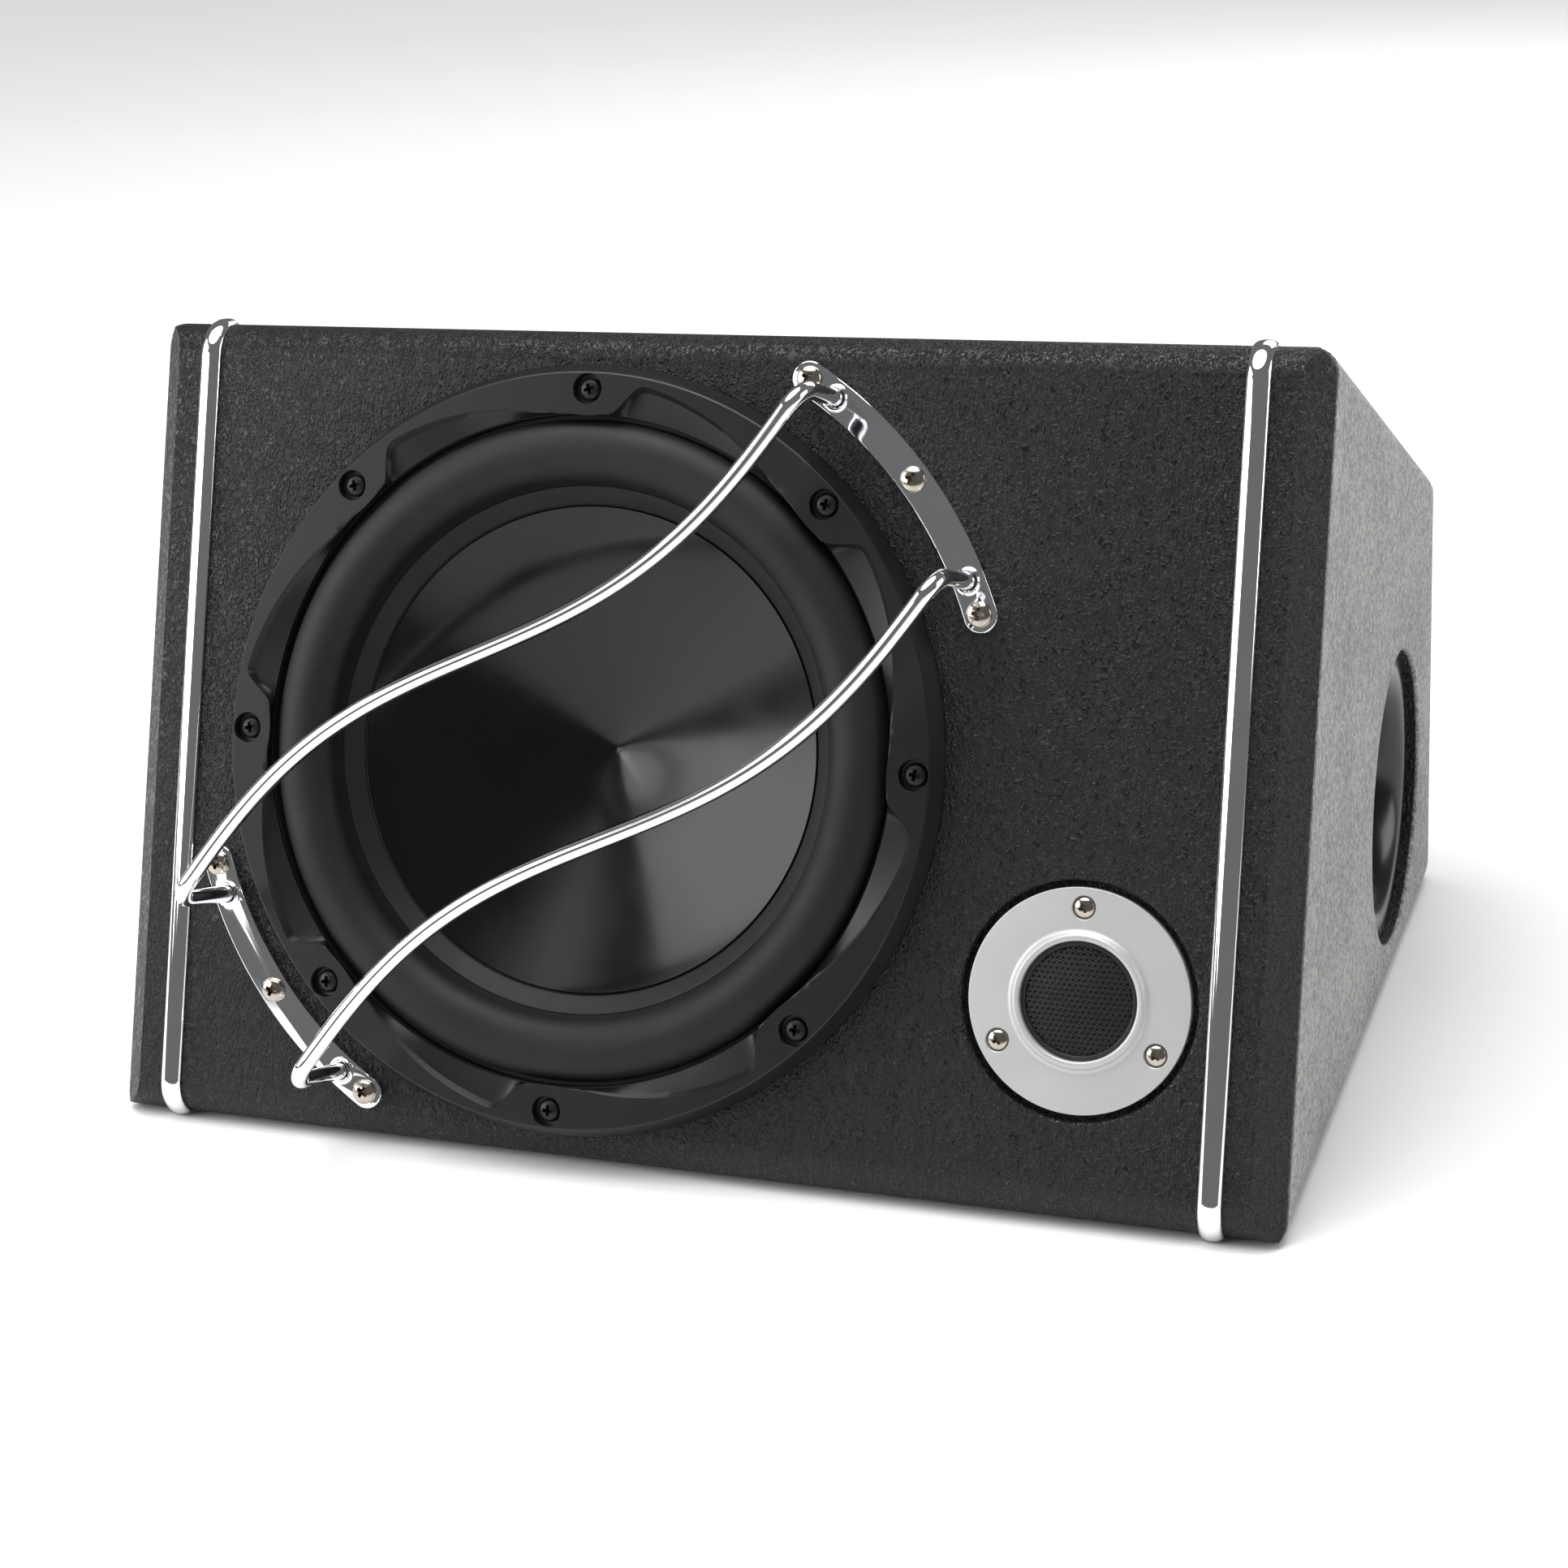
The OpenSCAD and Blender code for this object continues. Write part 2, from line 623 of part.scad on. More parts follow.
module port_tube() color([0.04, 0.04, 0.045]) on_port()
    ring(throat_r + 2 * port_wall + 0.1, throat_r + port_wall + 0.1, port_end_x - half_w, -flare_length - 10);

// ---------- guard ----------

function bar_point(u) = [u, bar_side - bar_wave * sin(180 * u / bar_half), guard_standoff];
bar_slope = atan(bar_wave * PI / bar_half);
bar_way = [cos(bar_slope), sin(bar_slope), 0];
bar_steps = 44;

// Stub and bend at one end; side is 1 at the upper right and -1 at the lower left
function bar_end(side) = concat(
    [[side * bar_half, bar_side, 0.3], [side * bar_half, bar_side, guard_standoff / 2]],
    [for (a = [0:15:90])
        [side * bar_half, bar_side, guard_standoff - bar_bend]
        - side * bar_bend * (1 - cos(a)) * bar_way + [0, 0, bar_bend * sin(a)]]
);

function reversed(list) = [for (i = [len(list) - 1:-1:0]) list[i]];

function bar_path() =
    let (reach = bar_half - bar_bend * cos(bar_slope) - 5)
    concat(bar_end(1), [for (k = [0:bar_steps]) bar_point(reach * (1 - 2 * k / bar_steps))],
           reversed(bar_end(-1)));

module guard_bar() tube(bar_path(), bar_r, 12, [0, 1, 0]);

module around_bracket_screws() {
    for (a = [-1, 0, 1]) rotate(a * bracket_screw_spread) translate([bracket_r, 0, 0]) children();
}

module bracket() {
    reach = bracket_screw_spread + 0.2;
    difference() {
        union() {
            intersection() {
                ring(bracket_r + bracket_w / 2, bracket_r - bracket_w / 2, 0, bracket_t);
                linear_extrude(height = bracket_t) polygon([
                    [0, 0], 180 * [cos(reach), -sin(reach)], [190, 0], 180 * [cos(reach), sin(reach)]
                ]);
            }
            for (a = [-1, 1]) {
                rotate(a * reach) translate([bracket_r, 0, 0]) cylinder(r = bracket_w / 2, h = bracket_t);
                rotate(a * bar_spread) translate([bracket_r, 0, 0])
                    cylinder(r1 = bracket_w / 2 - 0.4, r2 = bar_r + 0.9, h = bracket_t + 1.3);
            }
        }
        around_bracket_screws() translate([0, 0, -slack]) cylinder(r = 2.1, h = 5);
        for (a = [-1, 1]) rotate(a * bar_spread) translate([bracket_r, 0, -slack])
            cylinder(r = bar_r + 0.06, h = 8);
    }
}

module upper_guard_bar() color([0.85, 0.86, 0.88]) on_guard() guard_bar();
module lower_guard_bar() color([0.85, 0.86, 0.88]) on_guard() rotate(180) guard_bar();
module right_bracket() color([0.8, 0.81, 0.83]) on_guard() bracket();
module left_bracket() color([0.8, 0.81, 0.83]) on_guard() rotate(180) bracket();
module bracket_screws() color([0.75, 0.72, 0.66]) on_guard() for (side = [0, 180]) rotate(side)
    around_bracket_screws() translate([0, 0, bracket_t]) screw(4.3, 2.6, 1.8, 15);

// ---------- amplifier ----------

module amp_screw_places() {
    for (x = [-1, 0, 1], y = [-1, 1])
        translate([x * (amp_w / 2 - 6), y * (amp_h / 2 - 5), 0]) children();
}

module amp_panel() color([0.12, 0.12, 0.13]) on_rear() difference() {
    union() {
        linear_extrude(height = amp_plate_t) rounded_rectangle(amp_w, amp_h, 5);
        box(amp_w - 30, amp_h - 24, -2, 0);
    }
    amp_screw_places() translate([0, 0, -5]) cylinder(r = 2, h = 12);
    for (x = knob_x) translate([x, knob_y, -5]) cylinder(r = 3.6, h = 12);
    translate([switch_x, switch_y, 0]) box(12, 5.4, -5, 10);
    for (x = jack_x) translate([x, jack_y, -5]) cylinder(r = 4.7, h = 12);
    translate([block_x, block_y, 0]) box(54, 17, -5, 10);
    translate([fuse_x, fuse_y, 0]) box(22, 9, -5, 10);
}

module heat_sink() color([0.15, 0.15, 0.16]) on_rear() translate([-50, 0, amp_plate_t]) {
    fins = 13;
    box(120, 104, 0, 4);
    for (i = [0:fins - 1]) translate([-58.8 + 9.8 * i, 0, 0]) box(2.4, 104, 3.9, 17);
}

module amp_board() color([0.1, 0.35, 0.15]) on_rear() difference() {
    box(amp_w - 40, amp_h - 34, board_z, board_z + 1.6);
    for (x = [-1, 1], y = [-1, 1]) translate([x * 90, y * 38, board_z - 5]) cylinder(r = 1.6, h = 10);
}

module board_capacitors() color([0.1, 0.1, 0.3]) on_rear() {
    for (x = [-78, -54, -30], y = [-24, 24]) translate([x, y, board_z - 22]) cylinder(r = 9, h = 22);
}

module board_toroid() color([0.75, 0.45, 0.2]) on_rear() translate([14, 0, board_z - 18]) ring(23, 9, 0, 18);

module power_transistors() color([0.08, 0.08, 0.08]) on_rear()
    for (x = [-85, -62, -39, -16]) translate([x, 20, 0]) box(15, 20, -7, -2);

module control_pots() color([0.3, 0.3, 0.32]) on_rear() for (x = knob_x) translate([x, knob_y, 0]) difference() {
    union() {
        box(16, 16, -13, -2);
        translate([0, 0, -3]) cylinder(r = 3.5, h = 6.6);
    }
    translate([0, 0, -10]) cylinder(r = 3.06, h = 30);
}

// Control knob with its stem; the marker groove points up at mid travel
module knob(x) on_rear() translate([x, knob_y, 0]) difference() {
    union() {
        translate([0, 0, -9]) cylinder(r = 3, h = 14);
        translate([0, 0, amp_plate_t + 1]) cylinder(r = knob_r, h = 2);
        translate([0, 0, amp_plate_t + 3]) cylinder(r = knob_r - 0.8, h = 9);
    }
    translate([-0.6, 1.5, amp_plate_t + 11]) cube([1.2, knob_r, 2]);
}

module level_knob() color([0.1, 0.1, 0.1]) knob(knob_x[0]);
module crossover_knob() color([0.1, 0.1, 0.1]) knob(knob_x[1]);
module boost_knob() color([0.1, 0.1, 0.1]) knob(knob_x[2]);

module phase_switch() color([0.6, 0.6, 0.62]) on_rear() translate([switch_x, switch_y, 0]) difference() {
    box(18, 8, -9, -2);
    box(10.4, 3.8, -6, 5);
}

// Switch lever at its left stop, free to slide to the right
module phase_lever() color([0.9, 0.9, 0.88]) on_rear() translate([switch_x - switch_travel / 2, switch_y, 0]) {
    box(5, 3.2, -5.6, 0);
    box(3, 2.6, -0.1, amp_plate_t + 2.4);
}

// Barrier strip for supply, ground and remote turn-on
module power_block() color([0.08, 0.08, 0.08]) on_rear() translate([block_x, block_y, 0]) {
    difference() {
        union() {
            box(53.6, 16.6, -8, amp_plate_t + 1);
            for (i = [0:4]) translate([-25.8 + 12.9 * i, 0, 0]) box(2, 16.6, amp_plate_t, amp_plate_t + 10);
        }
        for (i = [0:3]) translate([-19.35 + 12.9 * i, 0, -4]) cylinder(r = 2.1, h = 20);
    }
    for (i = [0:3]) translate([-19.35 + 12.9 * i, 0, amp_plate_t + 1]) screw(3.8, 2.6, 2, 6);
}

module input_jacks() color([0.85, 0.75, 0.35]) on_rear() for (x = jack_x) translate([x, jack_y, 0]) difference() {
    union() {
        box(12, 14, -16, -2);
        translate([0, 0, -2.1]) cylinder(r = 4.6, h = amp_plate_t + 3);
        translate([0, 0, -2]) cylinder(r = 4.15, h = amp_plate_t + 12);
    }
    translate([0, 0, -12]) cylinder(r = 1.6, h = 40);
}

module fuse_holder() color([0.08, 0.08, 0.08]) on_rear() translate([fuse_x, fuse_y, 0]) difference() {
    box(21.6, 8.6, -12, amp_plate_t + 2);
    box(19.6, 5.8, amp_plate_t, 20);
    for (x = [-6.6, 6.6]) translate([x, 0, 0]) box(6, 1.6, -11, 20);
}

module fuse() color([0.2, 0.65, 0.25]) on_rear() translate([fuse_x, fuse_y, 0]) {
    box(19, 5.2, amp_plate_t + 0.3, amp_plate_t + 11);
    for (x = [-6.6, 6.6]) translate([x, 0, 0]) box(5.2, 0.8, -10, amp_plate_t + 0.4);
}

module amp_screws() color([0.08, 0.08, 0.09]) on_rear() amp_screw_places()
    translate([0, 0, amp_plate_t]) screw(3.6, 2.4, 1.5, 14);

// Two insulated leads from the amplifier board to the woofer's terminals; they draw apart on the way
module speaker_leads() color([0.6, 0.1, 0.1]) for (i = [0, 1])
    tube([for (k = [0:lead_last]) lead_route[k] + i * [-3, 2.8 * k / lead_last, 8]], 1.5, 8, [0, 0, 1]);

front_baffle();
base_panel();
top_panel();
rear_panel();
left_panel();
right_panel();
base_carpet();
top_carpet();
rear_carpet();
left_carpet();
right_carpet();
left_chrome_strip();
right_chrome_strip();
woofer_gasket();
woofer_basket();
woofer_trim_ring();
woofer_surround();
woofer_cone();
cone_edge_ring();
cone_dish();
spider();
coil_former();
voice_coil();
top_plate();
ring_magnet();
yoke();
woofer_terminals();
tinsel_leads();
woofer_screws();
tweeter_faceplate();
tweeter_grille();
tweeter_dome();
tweeter_motor();
tweeter_screws();
tweeter_capacitor();
port_flare();
port_tube();
upper_guard_bar();
lower_guard_bar();
right_bracket();
left_bracket();
bracket_screws();
amp_panel();
heat_sink();
amp_board();
board_capacitors();
board_toroid();
power_transistors();
control_pots();
level_knob();
crossover_knob();
boost_knob();
phase_switch();
phase_lever();
power_block();
input_jacks();
fuse_holder();
fuse();
amp_screws();
speaker_leads();
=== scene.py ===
"""Looks of a powered car subwoofer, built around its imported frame.

Every piece is modelled in millimetres, in row axes or in one local frame of the object,
and is turned into row metres when it becomes a Blender object.
"""

import json
import logging
import math
from collections.abc import Callable, Iterable, Sequence
from dataclasses import dataclass, field
from enum import Enum

import bmesh
import bpy
from mathutils import Matrix, Vector
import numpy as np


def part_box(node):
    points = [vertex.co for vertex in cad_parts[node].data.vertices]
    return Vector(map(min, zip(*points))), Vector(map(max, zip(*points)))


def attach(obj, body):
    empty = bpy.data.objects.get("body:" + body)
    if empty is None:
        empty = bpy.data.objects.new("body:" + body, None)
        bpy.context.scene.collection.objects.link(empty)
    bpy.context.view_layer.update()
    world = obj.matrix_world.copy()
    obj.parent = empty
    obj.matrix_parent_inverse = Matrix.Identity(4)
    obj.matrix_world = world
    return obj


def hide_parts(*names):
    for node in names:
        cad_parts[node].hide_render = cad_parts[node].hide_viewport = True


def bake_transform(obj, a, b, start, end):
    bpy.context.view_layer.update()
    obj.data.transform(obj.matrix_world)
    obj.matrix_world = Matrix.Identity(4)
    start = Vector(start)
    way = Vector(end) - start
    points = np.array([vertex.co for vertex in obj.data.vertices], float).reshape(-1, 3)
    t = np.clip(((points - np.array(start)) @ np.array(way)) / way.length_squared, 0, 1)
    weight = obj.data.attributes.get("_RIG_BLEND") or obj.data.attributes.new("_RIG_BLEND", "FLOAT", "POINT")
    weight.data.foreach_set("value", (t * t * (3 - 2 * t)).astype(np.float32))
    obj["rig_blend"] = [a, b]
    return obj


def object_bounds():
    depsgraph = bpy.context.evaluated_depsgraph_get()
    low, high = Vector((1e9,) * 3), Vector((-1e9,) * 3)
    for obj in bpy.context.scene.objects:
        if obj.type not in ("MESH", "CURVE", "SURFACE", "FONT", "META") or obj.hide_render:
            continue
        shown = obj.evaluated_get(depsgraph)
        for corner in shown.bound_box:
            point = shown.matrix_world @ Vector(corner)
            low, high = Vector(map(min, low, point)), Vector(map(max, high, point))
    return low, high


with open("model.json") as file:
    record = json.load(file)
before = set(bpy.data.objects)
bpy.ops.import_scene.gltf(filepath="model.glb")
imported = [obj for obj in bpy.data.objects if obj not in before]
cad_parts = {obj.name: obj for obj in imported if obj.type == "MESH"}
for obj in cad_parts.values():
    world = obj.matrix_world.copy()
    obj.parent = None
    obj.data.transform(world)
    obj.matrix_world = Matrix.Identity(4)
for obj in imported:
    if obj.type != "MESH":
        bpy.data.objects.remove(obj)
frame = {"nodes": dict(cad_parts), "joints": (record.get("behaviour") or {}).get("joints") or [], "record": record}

CAD_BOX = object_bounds()
MM = 0.001
LOG = logging.getLogger("subwoofer")

Point = tuple[float, float]
Corner = tuple[float, float, float]
Colour = tuple[float, float, float]


class Body(Enum):
    """The bodies that pieces ride on."""

    CABINET = "cabinet"
    CONE = "cone"
    LEVEL = "level_control"
    CROSSOVER = "crossover_control"
    BOOST = "boost_control"
    PHASE = "phase_slider"
    FUSE = "pull_fuse"


# ---------- shader maths ----------


class Value:
    """A number that varies over a surface; sums on it add Math nodes."""

    def __init__(self, graph: "Graph", socket: bpy.types.NodeSocket) -> None:
        """Keeps the socket and the graph it belongs to."""
        self.graph = graph
        self.socket = socket

    def _math(self, operation: str, first: "Value | float", second: "Value | float") -> "Value":
        """Adds one Math node and returns its result."""
        return self.graph.node("Math", {"operation": operation}, {0: first, 1: second})

    def __add__(self, other: "Value | float") -> "Value":
        """Sum of two values."""
        return self._math("ADD", self, other)

    def __sub__(self, other: "Value | float") -> "Value":
        """Difference of two values."""
        return self._math("SUBTRACT", self, other)

    def __rsub__(self, other: float) -> "Value":
        """Number minus this value."""
        return self._math("SUBTRACT", other, self)

    def __mul__(self, other: "Value | float") -> "Value":
        """Product of two values."""
        return self._math("MULTIPLY", self, other)

    __radd__ = __add__
    __rmul__ = __mul__

    def size(self) -> "Value":
        """Value without its sign."""
        return self._math("ABSOLUTE", self, 0.0)

    def between(self, low: float, high: float) -> "Value":
        """Smooth step from 0 at low to 1 at high.

        Args:
            low: value that gives 0.
            high: value that gives 1.

        Returns:
            The stepped value.
        """
        steps = {"Value": self, "From Min": low, "From Max": high}
        return self.graph.node("MapRange", {"interpolation_type": "SMOOTHSTEP"}, steps)


class Graph:
    """The nodes of one material."""

    def __init__(self, name: str) -> None:
        """Makes an empty material with object coordinates ready."""
        self.material = bpy.data.materials.new(name)
        self.material.use_nodes = True
        self.tree = self.material.node_tree
        self.tree.nodes.clear()
        self.coords = self.node("TexCoord", output="Object")

    def node(
        self,
        kind: str,
        settings: dict | None = None,
        inputs: dict | None = None,
        output: int | str = 0,
    ) -> Value:
        """Adds a shader node.

        Args:
            kind: node type without its ShaderNode prefix.
            settings: node properties, set before its inputs.
            inputs: socket name or number to a value or a number.
            output: socket that is returned.

        Returns:
            The chosen output.
        """
        made = self.tree.nodes.new("ShaderNode" + kind)
        for name, setting in (settings or {}).items():
            setattr(made, name, setting)
        for key, given in (inputs or {}).items():
            if isinstance(given, Value):
                self.tree.links.new(given.socket, made.inputs[key])
            else:
                made.inputs[key].default_value = given
        return Value(self, made.outputs[output])

    def noise(self, size: float, detail: float = 2.0, twist: float = 0.0, at: Value | None = None) -> Value:
        """Noise whose features are about size millimetres across.

        Args:
            size: feature size in millimetres.
            detail: number of finer layers.
            twist: distortion of the pattern.
            at: coordinates, or None for the object's own.

        Returns:
            Values round 0.5.
        """
        given = {"Vector": at or self.coords, "Scale": 1 / (size * MM), "Detail": detail, "Distortion": twist}
        return self.node("TexNoise", inputs=given)

    def cells(self, size: float) -> Value:
        """Distance inside cells about size millimetres apart."""
        return self.node("TexVoronoi", None, {"Vector": self.coords, "Scale": 1 / (size * MM)}, "Distance")

    def stretched(self, scale: Colour, turn: Colour = (0, 0, 0)) -> Value:
        """Object coordinates turned and scaled.

        Args:
            scale: factor along each axis.
            turn: turn about each axis, in radians.

        Returns:
            The new coordinates.
        """
        return self.node("Mapping", None, {"Vector": self.coords, "Rotation": turn, "Scale": scale})

    def blend(self, factor: Value | float, first: "Colour | Value", second: "Colour | Value") -> Value:
        """Colour between two colours.

        Args:
            factor: 0 gives the first colour and 1 the second.
            first: a colour or a colour socket.
            second: a colour or a colour socket.

        Returns:
            The mixed colour.
        """
        pair = [c if isinstance(c, Value) else (*c, 1.0) for c in (first, second)]
        return self.node("Mix", {"data_type": "RGBA"}, {0: factor, 6: pair[0], 7: pair[1]}, 2)

    def bump(self, height: Value, depth: float) -> Value:
        """Surface normal of a height field.

        Args:
            height: height from 0 to 1.
            depth: what a height of 1 means, in millimetres.

        Returns:
            The bent normal.
        """
        return self.node("Bump", None, {"Height": height, "Distance": depth * MM, "Strength": 1.0})

    def close(self, fixed: dict[str, float | Colour], varying: dict[str, Value]) -> bpy.types.Material:
        """Ends the graph with a principled surface.

        Args:
            fixed: numbers and colours set on the shader's own sockets.
            varying: linked sockets.

        Returns:
            The material.
        """
        shader = self.node("BsdfPrincipled", None, {**fixed, **varying})
        out = self.tree.nodes.new("ShaderNodeOutputMaterial")
        self.tree.links.new(shader.socket, out.inputs["Surface"])
        return self.material


# ---------- finishes ----------


@dataclass(frozen=True)
class Finish:
    """A plain finish with patches of tone, fine grain and uneven gloss.

    Sizes are in millimetres; mottle and smudge are shares of the base values.
    """

    colour: Colour
    roughness: float
    metallic: float = 0.0
    mottle: float = 0.12
    patch: float = 14.0
    grain: float = 0.5
    depth: float = 0.015
    smudge: float = 0.2
    coat: float = 0.0
    brush: Colour = (1.0, 1.0, 1.0)
    shine: float = 0.5

    def tones(self, graph: Graph) -> tuple[Colour, Colour]:
        """Darker and lighter ends of the colour."""
        dark = tuple(c * (1 - self.mottle) for c in self.colour)
        light = tuple(min(1.0, c * (1 + self.mottle)) for c in self.colour)
        return dark, light

    def build(self, name: str) -> bpy.types.Material:
        """Makes the material.

        Args:
            name: name of the material.

        Returns:
            The new material.
        """
        graph = Graph(name)
        at = graph.stretched(self.brush)
        patches = graph.noise(self.patch, 3)
        grain = graph.noise(self.grain, 2, at=at)
        tone = graph.blend((patches * 0.6 + grain * 0.4).between(0.3, 0.7), *self.tones(graph))
        gloss = (graph.noise(self.patch * 0.6, 4, at=at) - 0.5) * (2 * self.smudge * self.roughness)
        fixed = {"Metallic": self.metallic, "Coat Roughness": 0.08, "Specular IOR Level": self.shine}
        if self.coat:
            fixed["Coat Weight"] = self.coat
        varying = {
            "Base Color": tone,
            "Roughness": gloss + self.roughness,
            "Normal": graph.bump(grain, self.depth),
        }
        return graph.close(fixed, varying)


@dataclass(frozen=True)
class GrainedVinyl:
    """Black wrap with deep, wrinkled leather grain; the grain's raised tops are painted lighter and its folds
    darker, a painted highlight and painted shade.
    """

    colour: Colour = (0.002, 0.002, 0.0022)
    painted_ridge_highlight: Colour = (0.0055, 0.0055, 0.006)
    wrinkle: float = 1.9
    depth: float = 1.1

    def build(self, name: str) -> bpy.types.Material:
        """Makes the material.

        Args:
            name: name of the material.

        Returns:
            The new material.
        """
        graph = Graph(name)
        long_way = graph.stretched((1.0, 0.7, 0.62), (0.0, 0.25, 0.0))
        folds = graph.noise(self.wrinkle, 1.0, 1.6, long_way).between(0.4, 0.6)
        creases = (graph.noise(self.wrinkle * 0.8, 0.5, 1.0) - 0.5).size().between(0.0, 0.07)
        pores = graph.noise(0.22, 2)
        swell = graph.noise(9, 2)
        ridges = folds * (creases * 0.6 + 0.4)
        height = ridges * 0.95 + pores * 0.05
        strength = swell.between(0.2, 0.8) * 0.35 + 0.65
        # Base colour follows the ridges: raised grain is painted lighter and folds darker, a painted highlight and
        # painted shade.
        tone = graph.blend(ridges, self.colour, self.painted_ridge_highlight)
        shine = (1 - ridges) * 0.26 + pores * 0.06 + 0.2
        varying = {
            "Base Color": tone,
            "Roughness": shine,
            "Normal": graph.bump(height * strength, self.depth),
        }
        return graph.close({"IOR": 1.5, "Specular IOR Level": 0.42}, varying)


@dataclass(frozen=True)
class Carpet:
    """Grey needle-felt carpet with a mottled, fuzzy pile."""

    dark: Colour = (0.105, 0.107, 0.1)
    light: Colour = (0.4, 0.402, 0.385)
    fibre: float = 0.8
    clump: float = 2.4
    depth: float = 0.8

    def build(self, name: str) -> bpy.types.Material:
        """Makes the material.

        Args:
            name: name of the material.

        Returns:
            The new material.
        """
        graph = Graph(name)
        along = graph.noise(self.fibre, 3, 0.4, graph.stretched((0.35, 1, 1), (0.5, 0.3, 0.2)))
        over = graph.noise(self.fibre, 3, 0.4, graph.stretched((1, 0.35, 0.6), (0.1, 0.9, 0.6)))
        clumps = graph.noise(self.clump, 4, 0.8)
        drift = graph.noise(70, 2)
        pile = along * 0.5 + over * 0.5
        tone = (pile * 0.5 + clumps * 0.38 + drift * 0.12).between(0.4, 0.62)
        height = pile * 0.6 + clumps * 0.4
        varying = {
            "Base Color": graph.blend(tone, self.dark, self.light),
            "Roughness": pile * 0.1 + 0.88,
            "Normal": graph.bump(height, self.depth),
        }
        fixed = {"Sheen Weight": 0.25, "Sheen Roughness": 0.6, "Specular IOR Level": 0.2}
        return graph.close(fixed, varying)


@dataclass(frozen=True)
class Weave:
    """Resin-dipped cloth with crossing threads; the hollows between threads are painted darker as painted shade.
    """

    colour: Colour
    thread: float = 0.9
    depth: float = 0.12

    def build(self, name: str) -> bpy.types.Material:
        """Makes the material.

        Args:
            name: name of the material.

        Returns:
            The new material.
        """
        graph = Graph(name)
        waves = [
            graph.node(
                "TexWave",
                {"bands_direction": axis},
                {"Vector": graph.coords, "Scale": 1 / (self.thread * MM) / math.tau * 2, "Distortion": 0.6},
                "Fac",
            )
            for axis in ("X", "Z")
        ]
        height = waves[0] * 0.5 + waves[1] * 0.5
        # Base colour: hollows between threads painted darker as painted shade, mixed with random patches of tone.
        dark = tuple(c * 0.45 for c in self.colour)
        patches = graph.noise(6, 3)
        varying = {
            "Base Color": graph.blend(height * 0.7 + patches * 0.3, dark, self.colour),
            "Roughness": patches * 0.2 + 0.6,
            "Normal": graph.bump(height, self.depth),
        }
        return graph.close({}, varying)


@dataclass(frozen=True)
class RawBoard:
    """Fibreboard with fine chips."""

    colour: Colour = (0.5, 0.34, 0.2)

    def build(self, name: str) -> bpy.types.Material:
        """Makes the material.

        Args:
            name: name of the material.

        Returns:
            The new material.
        """
        graph = Graph(name)
        chips = graph.cells(1.6)
        dust = graph.noise(0.5, 3)
        dark = tuple(c * 0.6 for c in self.colour)
        varying = {
            "Base Color": graph.blend((chips * 0.7 + dust * 0.6).between(0.2, 1.0), dark, self.colour),
            "Roughness": dust * 0.15 + 0.78,
            "Normal": graph.bump(dust, 0.06),
        }
        return graph.close({}, varying)


CHROME = Finish((0.84, 0.85, 0.87), 0.045, 1.0, 0.03, 30, 0.35, 0.0006, 0.5)
NICKEL = Finish((0.5, 0.45, 0.39), 0.14, 1.0, 0.12, 2.5, 0.3, 0.004, 0.4)
ZINC = Finish((0.55, 0.56, 0.58), 0.32, 1.0, 0.1, 9, 0.4, 0.006, 0.3, brush=(1, 0.15, 1))
COPPER = Finish((0.72, 0.33, 0.16), 0.3, 1.0, 0.15, 3, 0.25, 0.03, 0.3, brush=(1, 1, 0.2))

